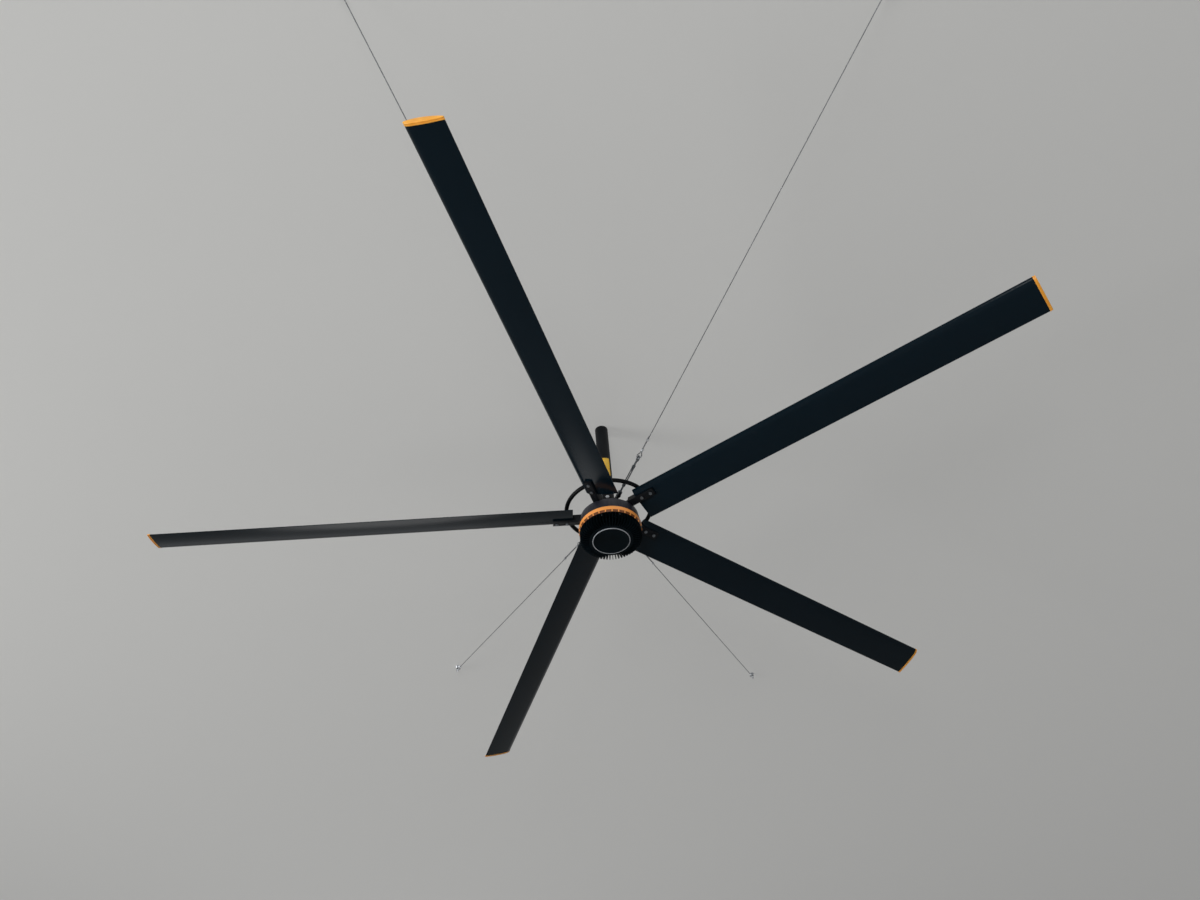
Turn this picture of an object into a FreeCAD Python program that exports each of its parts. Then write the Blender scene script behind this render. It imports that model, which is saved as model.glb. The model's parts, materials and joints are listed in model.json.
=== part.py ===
import FreeCAD, Part
import math
import os
import re
import Sketcher

# Industrial ceiling fan: five drooping blades on a direct-drive hub, hung on a down-rod from a ceiling
# bracket and steadied by four guy wires. Millimetres and degrees. +Z is up, and the origin is the centre
# of the bracket's top face, where it meets the building's structure. Everything hangs below that face.

V = FreeCAD.Vector
UP = V(0, 0, 1)
ALONG = V(1, 0, 0)
ACROSS = V(0, 1, 0)

# Driving dimensions: name, value, meaning.
SIZES = [
    ("arm_drop", 825, "structure face to the blade line, on the fan's axis"),
    ("ceiling_depth", 120, "structure face to the finished ceiling"),
    ("fit", 0.05, "radial clearance of a fit"),
    ("seat", 0.1, "clearance of a piece that slips over or into another"),
    ("overlap", 1, "how far a rib or shank runs into the piece that it grows from"),
    ("drill_spare", 1, "a blind hole beyond the end of its bolt"),
    # Ceiling bracket
    ("plate_side", 220, "side of the square ceiling plate"),
    ("plate_thickness", 12, "ceiling plate"),
    ("plate_pitch", 160, "spacing of the plate's four holes"),
    ("plate_hole", 14, "diameter of the plate's holes"),
    ("cheek_thickness", 10, "each cheek of the bracket"),
    ("cheek_width", 90, "cheek, fore and aft"),
    ("cheek_height", 95, "cheek, below the plate"),
    ("bracket_bolt_depth", 43, "plate's underside to the first cross bolt"),
    ("bracket_bolt_pitch", 34, "between the two bracket bolts"),
    # Down-rod
    ("rod_outer", 76, "outside diameter of the down-rod"),
    ("rod_wall", 4, "wall of the down-rod"),
    ("rod_top", 20, "structure face to the rod's upper end"),
    ("rod_end_rise", 17, "rod's lower end above the blade line"),
    ("rod_bolt_rise", 107, "lower cross bolt above the blade line"),
    ("rod_bolt_pitch", 40, "between the rod's two cross bolts"),
    ("big_bolt", 12, "thread of the cross bolts"),
    ("big_across", 19, "cross bolt head and nut, across flats"),
    ("big_head", 7.5, "height of a cross bolt's head"),
    ("big_nut", 10, "height of a cross bolt's nut"),
    ("bolt_tail", 3, "thread that stands out of a nut"),
    ("marker_drop", 400, "structure face to the top of the plain marker plate"),
    ("marker_height", 140, "marker plate on the rod"),
    ("marker_thickness", 0.5, "marker plate"),
    ("marker_angle", 96, "how far the marker plate wraps round the rod"),
    # Stationary shaft
    ("spigot_length", 160, "shaft inside the rod"),
    ("shoulder_radius", 46, "shoulder that the rod stands on"),
    ("shoulder_height", 12, "shoulder"),
    ("neck_radius", 32.5, "shaft in the seal"),
    ("carrier_seat", 29.5, "shaft radius in the stator carrier"),
    ("waist_radius", 27, "shaft between the carrier and the lower bearing"),
    ("thread_radius", 20, "shaft end in its nut"),
    ("thread_length", 7, "shaft end in its nut"),
    ("cable_bore", 20, "diameter of the cable duct in the shaft"),
    ("lead_hole", 10, "diameter of the duct's side outlet"),
    ("spacer_wall", 6, "spacer between the upper bearing and the stator carrier"),
    # Motor
    ("hub_top_drop", 12, "blade line to the motor's top face"),
    ("cover_height", 73, "upper cover"),
    ("cover_roof", 24, "roof of the upper cover"),
    ("cover_top_radius", 160, "upper cover below its edge"),
    ("cover_low_radius", 169, "upper cover at its foot"),
    ("cover_edge", 8, "chamfer round the upper cover's roof, its fall"),
    ("cover_edge_run", 10, "chamfer round the upper cover's roof, its run"),
    ("rotor_bore", 150, "bore radius of the cover and housing"),
    ("bore_fall", 3, "roof's underside to the top of the rotor bore"),
    ("bore_slope", 12, "slope between them, its run"),
    ("band_height", 40, "accent band"),
    ("band_radius", 171, "accent band"),
    ("band_bore", 163, "radius of the accent band's seat"),
    ("band_low", 14, "lower, toothed part of the accent band"),
    ("band_undercut", 5, "how far the lower part leans in"),
    ("band_edge", 2, "chamfer round the top of the accent band"),
    ("rib_count", 30, "teeth of the accent band"),
    ("rib_width", 7, "each tooth of the accent band"),
    ("flange_radius", 168, "flange over the fins"),
    ("flange_thickness", 4, "flange over the fins"),
    ("core_radius", 118, "housing wall behind the fins"),
    ("housing_wall", 8, "lower housing"),
    ("fin_height", 54, "fins"),
    ("fin_count", 60, "fins"),
    ("fin_thickness", 3.6, "each fin"),
    ("fin_chamfer", 14, "lower outer corner of a fin"),
    ("housing_screw", 6, "thread of the housing screws"),
    ("housing_screw_count", 10, "housing screws"),
    ("screw_head", 5, "height of a housing screw's head"),
    ("screw_head_radius", 4.8, "housing screw's head"),
    ("screw_grip", 14, "housing screw in the upper cover"),
    ("bottom_radius", 98, "bottom cover"),
    ("bottom_thickness", 3, "bottom cover"),
    ("trim_width", 4, "trim ring round the bottom cover"),
    ("trim_proud", 0.6, "trim ring below the bottom cover"),
    ("trim_edge", 1, "chamfer round the trim ring"),
    # Bearings
    ("upper_bore", 60, "upper bearing"),
    ("upper_outer", 110, "upper bearing"),
    ("upper_width", 22, "upper bearing"),
    ("upper_ball", 15.8, "ball diameter of the upper bearing"),
    ("upper_balls", 11, "balls of the upper bearing"),
    ("upper_depth", 12, "motor's top face to the upper bearing"),
    ("lower_bore", 50, "lower bearing"),
    ("lower_outer", 90, "lower bearing"),
    ("lower_width", 20, "lower bearing"),
    ("lower_ball", 12.6, "ball diameter of the lower bearing"),
    ("lower_balls", 11, "balls of the lower bearing"),
    ("boss_wall", 11, "wall round each bearing"),
    ("boss_lip", 2, "upper bearing's boss beyond the bearing"),
    ("race_share", 0.27, "ball circle to the shoulder of a race, in ball diameters"),
    ("cage_share", 0.16, "half the thickness of a cage, in ball diameters"),
    ("cage_height_share", 1.2, "height of a cage, in ball diameters"),
    ("mouth_radius", 31, "opening below the lower bearing"),
    ("seal_outer", 40, "radius of the shaft seal"),
    ("seal_height", 8, "shaft seal"),
    ("nut_radius", 27, "shaft nut"),
    # Stator and rotor
    ("stack_depth", 40, "motor's top face to the stator core"),
    ("stack_height", 56, "stator core"),
    ("stator_inner", 84, "inner radius of the stator core"),
    ("yoke_thickness", 8, "rotor yoke"),
    ("yoke_height", 72, "rotor yoke"),
    ("yoke_depth", 28, "motor's top face to the rotor yoke"),
    ("magnet_thickness", 4, "magnets"),
    ("magnet_height", 62, "magnets"),
    ("magnet_count", 28, "magnets"),
    ("magnet_share", 0.85, "share of the circle that the magnets cover"),
    ("air_gap", 0.7, "magnets to stator"),
    ("tooth_count", 24, "stator teeth and coils"),
    ("tooth_width", 13, "stator tooth"),
    ("slot_root", 98, "radius at the foot of the stator teeth"),
    ("shoe_height", 6, "pole shoe"),
    ("shoe_width", 30, "pole shoe"),
    ("shoe_taper", 3, "slope behind the pole shoe"),
    ("coil_thickness", 4.6, "coil beside its tooth"),
    ("coil_end", 6, "coil above and below the core"),
    ("coil_clearance", 2, "coil to the inner and outer end of its slot"),
    ("carrier_hub", 42, "radius of the stator carrier's hub"),
    ("carrier_web", 16, "web of the stator carrier"),
    ("carrier_rim", 8, "rim of the stator carrier"),
    ("clip_height", 2.5, "retaining ring under the carrier"),
    ("clip_radius", 33, "retaining ring under the carrier"),
    # Blades, arms and safety ring
    ("tip_radius", 2440, "axis to the blade tip, along the blade line"),
    ("blade_count", 5, "blades"),
    ("first_azimuth", 255.6, "azimuth of the first blade"),
    ("droop", 1.07, "fall of the blades towards the tips"),
    ("pitch", 17.5, "blade pitch, leading edge up"),
    ("root_radius", 200, "axis to the blade's inner end"),
    ("chord", 188, "blade chord"),
    ("blade_thickness", 30, "blade at its crown"),
    ("edge_thickness", 3, "trailing edge"),
    ("nose_height", 19, "nose above the flat underside"),
    ("nose_reach", 32, "nose to the flat underside"),
    ("nose_share", 0.55, "how full the curve under the nose is"),
    ("nose_to_arm", 52, "nose to the middle of the arm"),
    ("blade_seat", 9.2, "blade line to the blade's flat underside"),
    ("skin", 2.2, "blade skin and webs"),
    ("tail_solid", 30, "solid part of the blade at its trailing edge"),
    ("hollow_end", 6, "height of the blade's hollow at its rear"),
    ("crown_share", 0.45, "where the blade's back is fullest, as a share of its chord"),
    ("arm_width", 40, "arm"),
    ("arm_thickness", 16, "arm"),
    ("arm_offset", 18, "blade line to the arm's middle, towards the leading edge"),
    ("arm_inner", 64, "axis to the arm's inner end"),
    ("arm_outer", 310, "axis to the arm's outer end"),
    ("heel_start", 150, "axis to the raised heel of an arm"),
    ("heel_height", 28, "heel above the arm"),
    ("arm_bolt_first", 84, "axis to the first hub bolt of an arm"),
    ("arm_bolt_pitch", 50, "between an arm's hub bolts"),
    ("small_bolt", 10, "thread of the arm and blade bolts"),
    ("small_across", 17, "their heads, across flats"),
    ("small_head", 6.4, "height of their heads"),
    ("small_nut", 8, "height of their nuts"),
    ("arm_bolt_grip", 12, "hub bolt below its arm"),
    ("blade_bolt_pitch", 56, "between the two bolts of a blade"),
    ("saddle_grip", 5, "blade bolt in the ring's saddle"),
    ("backing_length", 96, "backing plate inside the blade, over its two bolts"),
    ("backing_thickness", 6, "backing plate"),
    ("cap_length", 14, "end cap"),
    ("cap_lip", 1.5, "end cap round the blade's outline"),
    ("cap_round", 3, "rounded end of the cap"),
    ("cap_plug", 22, "end cap inside the blade"),
    ("ring_radius", 233, "safety ring"),
    ("ring_tube", 23, "tube of the safety ring"),
    ("ring_rise", 44, "safety ring above the blade line"),
    ("saddle_length", 30, "saddle along the blade"),
    ("saddle_width", 26, "saddle across the blade"),
    ("saddle_height", 19, "saddle above the blade's crown"),
    # Guy wires
    ("guy_azimuth_front_left", 250.5, "wire from the clamp to the ceiling"),
    ("guy_reach_front_left", 2850, "axis to the ceiling eye"),
    ("guy_azimuth_front_right", 299.7, "wire from the clamp to the ceiling"),
    ("guy_reach_front_right", 2860, "axis to the ceiling eye"),
    ("guy_azimuth_rear_right", 69.4, "wire from the clamp to the ceiling"),
    ("guy_reach_rear_right", 2880, "axis to the ceiling eye"),
    ("guy_azimuth_rear_left", 118.6, "wire from the clamp to the ceiling"),
    ("guy_reach_rear_left", 2570, "axis to the ceiling eye"),
    ("lug_radius", 120, "axis to the pin of a lug"),
    ("lug_rise", 49, "pin of a lug above the blade line"),
    ("lug_thickness", 8, "lug"),
    ("lug_eye", 15, "rounded end of a lug"),
    ("clamp_wall", 12, "clamp round the rod"),
    ("clamp_height", 40, "clamp"),
    ("clamp_gap", 4, "between the clamp's halves"),
    ("tab_reach", 80, "axis to the outer end of a clamp tab"),
    ("tab_thickness", 10, "clamp tab"),
    ("tab_bolt", 66, "axis to a clamp bolt"),
    ("pin", 10, "jaw pin"),
    ("pin_head", 15, "diameter of the jaw pin's head"),
    ("pin_head_height", 3, "jaw pin's head"),
    ("pin_tail", 3.5, "jaw pin beyond its jaw"),
    ("jaw_play", 0.6, "jaw's slot beyond the lug's thickness"),
    ("jaw_wall", 5, "each leg of the jaw"),
    ("jaw_height", 18, "jaw legs"),
    ("jaw_heel", 18, "pin to the heel of the jaw"),
    ("jaw_length", 30, "pin to the end of the jaw's heel"),
    ("screw", 10, "thread of the turnbuckle"),
    ("body_start", 64, "pin to the turnbuckle body"),
    ("body_length", 140, "turnbuckle body"),
    ("body_end", 18, "each threaded end of the body"),
    ("body_end_diameter", 18, "threaded end of the body"),
    ("bar_spacing", 21, "between the body's two bars"),
    ("bar_size", 6.4, "each bar of the body"),
    ("bar_inset", 3, "end of the body to the end of its bars"),
    ("screw_depth", 34, "end screw inside the body"),
    ("eye_reach", 250, "pin to the middle of the turnbuckle's eye"),
    ("eye_radius", 14, "eye, at the middle of its bar"),
    ("eye_bar", 9, "bar of the eyes"),
    ("wire", 5, "wire rope"),
    ("thimble_radius", 9, "inside of the thimble"),
    ("thimble_wall", 1.5, "thimble"),
    ("thimble_width", 7, "thimble"),
    ("loop_angle", 240, "turn of the wire round the thimble"),
    ("ferrule_length", 22, "ferrule"),
    ("ferrule_wall", 1.8, "ferrule"),
    ("clip_offset_front_left", 60, "ferrule to the tail clip"),
    ("clip_offset_front_right", 60, "ferrule to the tail clip"),
    ("clip_offset_rear_right", 270, "ferrule to the tail clip"),
    ("clip_offset_rear_left", 170, "ferrule to the tail clip"),
    ("tail_clip", 16, "tail clip along the wire"),
    ("tail_end", 14, "wire tail beyond its clip"),
    ("ceiling_eye_drop", 28, "finished ceiling to the middle of the ceiling eye"),
    ("ceiling_washer", 16, "radius of the ceiling eye's collar"),
    ("washer_height", 3, "collar of the ceiling eye"),
]
GUYS = ["front_left", "front_right", "rear_right", "rear_left"]

doc = FreeCAD.newDocument("ceiling_fan")
sheet = doc.addObject("Spreadsheet::Sheet", "Sizes")
for row, (alias, value, meaning) in enumerate(SIZES, 1):
    sheet.set("A%d" % row, str(value))
    sheet.setAlias("A%d" % row, alias)
    sheet.set("B%d" % row, meaning)
doc.recompute()
ALIASES = {alias for alias, value, meaning in SIZES}
parts = {}


def size(alias):
    """A driving dimension as a number."""
    return float(sheet.get(alias))


def formula(text):
    """An expression in which every known alias is a cell of the sheet."""
    return re.sub(r"[a-z_]+", lambda w: "Sizes." + w.group() if w.group() in ALIASES else w.group(), text)


def bind(thing, **rules):
    """Bind properties of an object to expressions; x, y and z bind its place."""
    for name, text in rules.items():
        target = "Placement.Base." + name if name in ("x", "y", "z") else name
        thing.setExpression(target, formula(text))
    return thing


def cylinder(name, radius, height, **place):
    return bind(doc.addObject("Part::Cylinder", name), Radius=radius, Height=height, **place)


def box(name, length, width, height, **place):
    return bind(doc.addObject("Part::Box", name), Length=length, Width=width, Height=height, **place)


def prism(name, across, height, **place):
    hexagon = doc.addObject("Part::Prism", name)
    return bind(hexagon, Circumradius="(%s) / sqrt(3)" % across, Height=height, **place)


def torus(name, radius, tube, **place):
    return bind(doc.addObject("Part::Torus", name), Radius1=radius, Radius2=tube, **place)


def turned_over(thing, axis, angle):
    """Turn an object about its own origin; its place stays bound."""
    thing.Placement.Rotation = FreeCAD.Rotation(axis, angle)
    return thing


def fuse(name, *things):
    joined = doc.addObject("Part::MultiFuse", name)
    joined.Shapes = list(things)
    return joined


def cut(name, base, *tools):
    left = doc.addObject("Part::Cut", name)
    left.Base = base
    left.Tool = tools[0] if len(tools) == 1 else fuse(name + "_tools", *tools)
    return left


def common(name, first, second):
    shared = doc.addObject("Part::Common", name)
    shared.Base = first
    shared.Tool = second
    return shared


def group(name, shapes):
    """Several solids kept in one object."""
    held = doc.addObject("Part::Feature", name)
    held.Shape = Part.makeCompound(shapes)
    return held


def placed(thing, *placements):
    """One copy of a finished object's shape at each placement."""
    doc.recompute()
    copies = []
    for placement in placements:
        copy = thing.Shape.copy()
        copy.Placement = placement.multiply(thing.Shape.Placement)
        copies.append(copy)
    return copies


def part(label, thing):
    """Register a finished sub-part under its own label."""
    thing.Label = label
    parts[label] = thing
    return thing


def origin_feature(body, role):
    return next(feature for feature in body.Origin.OriginFeatures if feature.Role == role)


def outline(body, name, plane, points):
    """A closed sketch through points that are pairs of expressions."""
    sketch = body.newObject("Sketcher::SketchObject", name)
    sketch.AttachmentSupport = [(origin_feature(body, plane), "")]
    sketch.MapMode = "FlatFace"
    count = len(points)
    turn = 2 * math.pi / count
    loop = [V(100 + 50 * math.cos(turn * i), 50 * math.sin(turn * i), 0) for i in range(count)]
    sketch.addGeometry([Part.LineSegment(loop[i], loop[(i + 1) % count]) for i in range(count)])
    rules = [Sketcher.Constraint("Coincident", i, 2, (i + 1) % count, 1) for i in range(count)]
    for i in range(count):
        rules.append(Sketcher.Constraint("DistanceX", -1, 1, i, 1, loop[i].x))
        rules.append(Sketcher.Constraint("DistanceY", -1, 1, i, 1, loop[i].y))
    sketch.addConstraint(rules)
    for i, (across, upward) in enumerate(points):
        sketch.setExpression("Constraints[%d]" % (count + 2 * i), formula(across))
        sketch.setExpression("Constraints[%d]" % (count + 2 * i + 1), formula(upward))
    return sketch


def motor_outline(body, name, points):
    """A sketch through (radius, depth below the motor's top face)."""
    return outline(body, name, "XZ_Plane", [(r, "%s - (%s)" % (HUB_TOP, depth)) for r, depth in points])


def turned(name, points):
    """A body turned about the fan's axis from a motor outline."""
    body = doc.addObject("PartDesign::Body", name)
    profile = motor_outline(body, name + "_outline", points)
    turn = body.newObject("PartDesign::Revolution", name + "_turned")
    turn.Profile = profile
    turn.ReferenceAxis = (profile, ["V_Axis"])
    turn.Angle = 360
    return body


def around(body, pad, count):
    """Repeat a pad of a turned body round the fan's axis."""
    doc.recompute()
    pattern = body.newObject("PartDesign::PolarPattern", pad.Name + "_pattern")
    pattern.Originals = [pad]
    pattern.Axis = (origin_feature(body, "Z_Axis"), [""])
    pattern.Angle = 360
    bind(pattern, Occurrences=count)
    body.Tip = pattern
    return body


def ribbed(body, name, points, thickness, count):
    """Add ribs round a turned body, each padded both ways from the XZ plane."""
    rib = body.newObject("PartDesign::Pad", name)
    rib.Profile = motor_outline(body, name + "_outline", points)
    rib.Midplane = True
    bind(rib, Length=thickness)
    return around(body, rib, count)


HUB_TOP = "(-arm_drop - hub_top_drop)"


def spin(angle, z=0.0):
    """A placement turned about the fan's axis, at a height."""
    return FreeCAD.Placement(V(0, 0, z), FreeCAD.Rotation(UP, angle))


def moved(frame, offset, turn=FreeCAD.Rotation()):
    """A frame carried along by an offset in its own axes, and turned there."""
    return frame.multiply(FreeCAD.Placement(offset, turn))


def spread(count):
    """Evenly spaced placements round the fan's axis; count names the size that holds their number."""
    return [spin(360.0 * i / size(count)) for i in range(int(size(count)))]


# Ceiling bracket: a plate with two cheeks that hold the rod between them.
CHEEK_GAP = "(rod_outer / 2 + seat)"
plate = box("bracket_plate", "plate_side", "plate_side", "plate_thickness",
            x="-plate_side / 2", y="-plate_side / 2", z="-plate_thickness")
cheeks = []
for name, start in (("left", "-%s - cheek_thickness" % CHEEK_GAP), ("right", CHEEK_GAP)):
    cheek = box("cheek_" + name, "cheek_thickness", "cheek_width", "cheek_height + plate_thickness / 2")
    cheeks.append(bind(cheek, x=start, y="-cheek_width / 2", z="-plate_thickness - cheek_height"))
plate_holes = []
for i, (across, along) in enumerate([("-", "-"), ("-", ""), ("", "-"), ("", "")]):
    hole = cylinder("plate_hole_%d" % i, "plate_hole / 2", "plate_thickness", z="-plate_thickness")
    plate_holes.append(bind(hole, x=across + "plate_pitch / 2", y=along + "plate_pitch / 2"))
BRACKET_BOLTS = ["-plate_thickness - bracket_bolt_depth",
                 "-plate_thickness - bracket_bolt_depth - bracket_bolt_pitch"]
ROD_BOLTS = ["-arm_drop + rod_bolt_rise", "-arm_drop + rod_bolt_rise + rod_bolt_pitch"]


def cross_hole(name, height, axis):
    """A bolt hole right through the bracket or rod, along X or along Y."""
    hole = cylinder(name, "big_bolt / 2 + fit", "plate_side", z=height)
    if axis == "x":
        turned_over(hole, ACROSS, 90)
        return bind(hole, x="-plate_side / 2")
    turned_over(hole, ALONG, -90)
    return bind(hole, y="-plate_side / 2")


bracket_holes = [cross_hole("bracket_hole_%d" % i, z, "x") for i, z in enumerate(BRACKET_BOLTS)]
weldment = fuse("bracket_weldment", plate, *cheeks)
part("ceiling_bracket", cut("bracket", weldment, *plate_holes, *bracket_holes))

# Down-rod: a tube from between the cheeks to the shaft's shoulder, drilled for its four cross bolts.
ROD_LENGTH = "(arm_drop - rod_end_rise - rod_top)"
rod_outer = cylinder("rod_outside", "rod_outer / 2", ROD_LENGTH, z="-rod_top - %s" % ROD_LENGTH)
rod_inner = cylinder("rod_inside", "rod_outer / 2 - rod_wall", ROD_LENGTH, z="-rod_top - %s" % ROD_LENGTH)
rod_holes = [cross_hole("rod_top_hole_%d" % i, z, "x") for i, z in enumerate(BRACKET_BOLTS)]
rod_holes += [cross_hole("rod_low_hole_%d" % i, z, "y") for i, z in enumerate(ROD_BOLTS)]
part("down_rod", cut("rod", rod_outer, rod_inner, *rod_holes))

marker_outer = cylinder("marker_outside", "rod_outer / 2 + fit + marker_thickness", "marker_height",
                        z="-marker_drop - marker_height", Angle="marker_angle")
turned_over(marker_outer, UP, -90 - size("marker_angle") / 2)
marker_inner = cylinder("marker_inside", "rod_outer / 2 + fit", "marker_height",
                        z="-marker_drop - marker_height")
part("rod_marker", cut("marker", marker_outer, marker_inner))


def hex_bolt(name, thread, across, head, length):
    """A bolt that points down -Z, with the underside of its head at the origin."""
    shank = cylinder(name + "_shank", thread, length, z="-(%s)" % length)
    return fuse(name, prism(name + "_head", across, head), shank)


def hex_nut(name, thread, across, height):
    """A nut that stands on the origin."""
    outside = prism(name + "_outside", across, height)
    return cut(name, outside, cylinder(name + "_thread", "(%s) + fit" % thread, height))


def crossing(axis, reach, height, outward):
    """Placement of a bolt head or nut on one side of the rod; outward is +1 or -1."""
    direction = V(outward, 0, 0) if axis == "x" else V(0, outward, 0)
    return FreeCAD.Placement(direction * reach + V(0, 0, height), FreeCAD.Rotation(UP, direction))


def through_bolts(label, half_grip, heights):
    """Cross bolts with their nuts; half_grip is an expression and its value, and heights lists
    (axis, height of the bolt, side of its head)."""
    bolt = hex_bolt(label + "_bolt", "big_bolt / 2", "big_across", "big_head",
                    "2 * (%s) + big_nut + bolt_tail" % half_grip[0])
    nut = hex_nut(label + "_nut", "big_bolt / 2", "big_across", "big_nut")
    solids = []
    for axis, height, side in heights:
        solids += placed(bolt, crossing(axis, half_grip[1], height, side))
        solids += placed(nut, crossing(axis, half_grip[1], height, -side))
    part(label, group(label, solids))


cheek_face = size("rod_outer") / 2 + size("seat") + size("cheek_thickness")
first_bolt = -size("plate_thickness") - size("bracket_bolt_depth")
through_bolts("bracket_bolts", (CHEEK_GAP + " + cheek_thickness", cheek_face),
              [("x", first_bolt, 1), ("x", first_bolt - size("bracket_bolt_pitch"), 1)])
low_bolt = -size("arm_drop") + size("rod_bolt_rise")
through_bolts("rod_bolts", ("rod_outer / 2", size("rod_outer") / 2),
              [("y", low_bolt, -1), ("y", low_bolt + size("rod_bolt_pitch"), -1)])

# Stationary shaft, turned in steps, with a cable duct and a side outlet below the stator.
SHOULDER_TOP = "-hub_top_drop - rod_end_rise"
SHOULDER_LOW = SHOULDER_TOP + " + shoulder_height"
UPPER_END = "upper_depth + upper_width"
LOWER_TOP = "(cover_height + band_height + flange_thickness + fin_height - housing_wall - lower_width)"
LOWER_END = LOWER_TOP + " + lower_width"
CARRIER_TOP = "(stack_depth - seat)"
STACK_END = "(stack_depth + stack_height)"
SPIGOT = "rod_outer / 2 - rod_wall - fit"
shaft = turned("shaft", [
    ("cable_bore / 2", SHOULDER_TOP + " - spigot_length"),
    (SPIGOT, SHOULDER_TOP + " - spigot_length"),
    (SPIGOT, SHOULDER_TOP),
    ("shoulder_radius", SHOULDER_TOP),
    ("shoulder_radius", SHOULDER_LOW),
    ("neck_radius", SHOULDER_LOW),
    ("neck_radius", "upper_depth"),
    ("upper_bore / 2 - fit", "upper_depth"),
    ("upper_bore / 2 - fit", CARRIER_TOP),
    ("carrier_seat", CARRIER_TOP),
    ("carrier_seat", STACK_END),
    ("waist_radius", STACK_END),
    ("waist_radius", LOWER_TOP),
    ("lower_bore / 2 - fit", LOWER_TOP),
    ("lower_bore / 2 - fit", LOWER_END),
    ("thread_radius", LOWER_END),
    ("thread_radius", LOWER_END + " + thread_length"),
    ("cable_bore / 2", LOWER_END + " + thread_length"),
])
lead = cylinder("lead_outlet", "lead_hole / 2", "2 * shoulder_radius",
                x="-shoulder_radius", z="%s - (%s + %s) / 2" % (HUB_TOP, STACK_END, LOWER_TOP))
turned_over(lead, ACROSS, 90)
shaft_holes = [cross_hole("shaft_hole_%d" % i, z, "y") for i, z in enumerate(ROD_BOLTS)]
part("main_shaft", cut("drilled_shaft", shaft, lead, *shaft_holes))


# Two ball bearings: the inner race stands still, the outer race turns with the hub.
def bearing(name, bore, outer, width, ball, balls, top):
    """Races, balls and cage of a bearing whose upper face lies at the depth top."""
    pitch_radius = "((%s + %s) / 4)" % (bore, outer)
    low = "%s - %s - %s" % (HUB_TOP, top, width)
    middle = "%s + %s / 2" % (low, width)
    land = "race_share * %s" % ball
    spans = {
        "inner": ("%s / 2" % bore, "%s - %s" % (pitch_radius, land)),
        "outer": ("%s + %s" % (pitch_radius, land), "%s / 2 - fit" % outer),
    }
    for side, (inside, outside) in spans.items():
        stem = "%s_%s" % (name, side)
        ring = cut(stem + "_ring", cylinder(stem + "_outside", outside, width, z=low),
                   cylinder(stem + "_inside", inside, width, z=low))
        track = torus(stem + "_track", pitch_radius, "%s / 2 + fit" % ball, z=middle)
        part(stem + "_race", cut(stem + "_grooved", ring, track))
    sphere = bind(doc.addObject("Part::Sphere", name + "_ball"), Radius="%s / 2" % ball)
    bind(sphere, x=pitch_radius, z=middle)
    pocket = cylinder(name + "_pocket", "%s / 2 + fit" % ball, ball, z=middle)
    bind(turned_over(pocket, ACROSS, 90), x="%s - %s / 2" % (pitch_radius, ball))
    cage_height = "cage_height_share * %s" % ball
    walls = []
    for face, sign in (("outside", "+"), ("inside", "-")):
        wall = "%s %s cage_share * %s" % (pitch_radius, sign, ball)
        walls.append(cylinder("%s_cage_%s" % (name, face), wall, cage_height,
                              z="%s - %s / 2" % (middle, cage_height)))
    pockets = group(name + "_pockets", placed(pocket, *spread(balls)))
    cage = cut(name + "_cage", cut(name + "_cage_ring", *walls), pockets)
    rolling = placed(sphere, *spread(balls)) + placed(cage, spin(0))
    part(name + "_cage_and_balls", group(name + "_rolling", rolling))


bearing("upper_bearing", "upper_bore", "upper_outer", "upper_width", "upper_ball", "upper_balls",
        "upper_depth")
bearing("lower_bearing", "lower_bore", "lower_outer", "lower_width", "lower_ball", "lower_balls", LOWER_TOP)
part("shaft_spacer", turned("spacer", [
    ("upper_bore / 2", UPPER_END), ("upper_bore / 2 + spacer_wall", UPPER_END),
    ("upper_bore / 2 + spacer_wall", "stack_depth"), ("upper_bore / 2", "stack_depth"),
]))
part("shaft_seal", turned("seal", [
    ("neck_radius + fit", "0"), ("seal_outer - fit", "0"),
    ("seal_outer - fit", "seal_height"), ("neck_radius + fit", "seal_height"),
]))
part("shaft_nut", turned("nut", [
    ("thread_radius + fit", LOWER_END), ("nut_radius", LOWER_END),
    ("nut_radius", LOWER_END + " + thread_length"), ("thread_radius + fit", LOWER_END + " + thread_length"),
]))

# Stator: carrier on the shaft, slotted core on the carrier, one coil round each tooth.
WEB_TOP = "(stack_depth + stack_height / 2 - carrier_web / 2)"
WEB_LOW = "(stack_depth + stack_height / 2 + carrier_web / 2)"
RIM = "stator_inner - fit - carrier_rim"
part("stator_carrier", turned("carrier", [
    ("carrier_seat + fit", "stack_depth"), ("carrier_hub", "stack_depth"), ("carrier_hub", WEB_TOP),
    (RIM, WEB_TOP), (RIM, "stack_depth"), ("stator_inner - fit", "stack_depth"),
    ("stator_inner - fit", STACK_END), (RIM, STACK_END), (RIM, WEB_LOW), ("carrier_hub", WEB_LOW),
    ("carrier_hub", STACK_END), ("carrier_seat + fit", STACK_END),
]))
part("carrier_retaining_ring", turned("retaining_ring", [
    ("waist_radius + fit", STACK_END), ("clip_radius", STACK_END),
    ("clip_radius", STACK_END + " + clip_height"), ("waist_radius + fit", STACK_END + " + clip_height"),
]))
STATOR_OUTER = "(rotor_bore - fit - yoke_thickness - magnet_thickness - air_gap)"
SHOE = "(%s - shoe_height)" % STATOR_OUTER
SHOE_FACE = "(%s + shoe_taper)" % SHOE
TOOTH_END = "(%s + overlap)" % STATOR_OUTER
back_iron = turned("back_iron", [
    ("stator_inner", "stack_depth"), ("slot_root", "stack_depth"),
    ("slot_root", STACK_END), ("stator_inner", STACK_END),
])
tooth = back_iron.newObject("PartDesign::Pad", "tooth")
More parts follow.
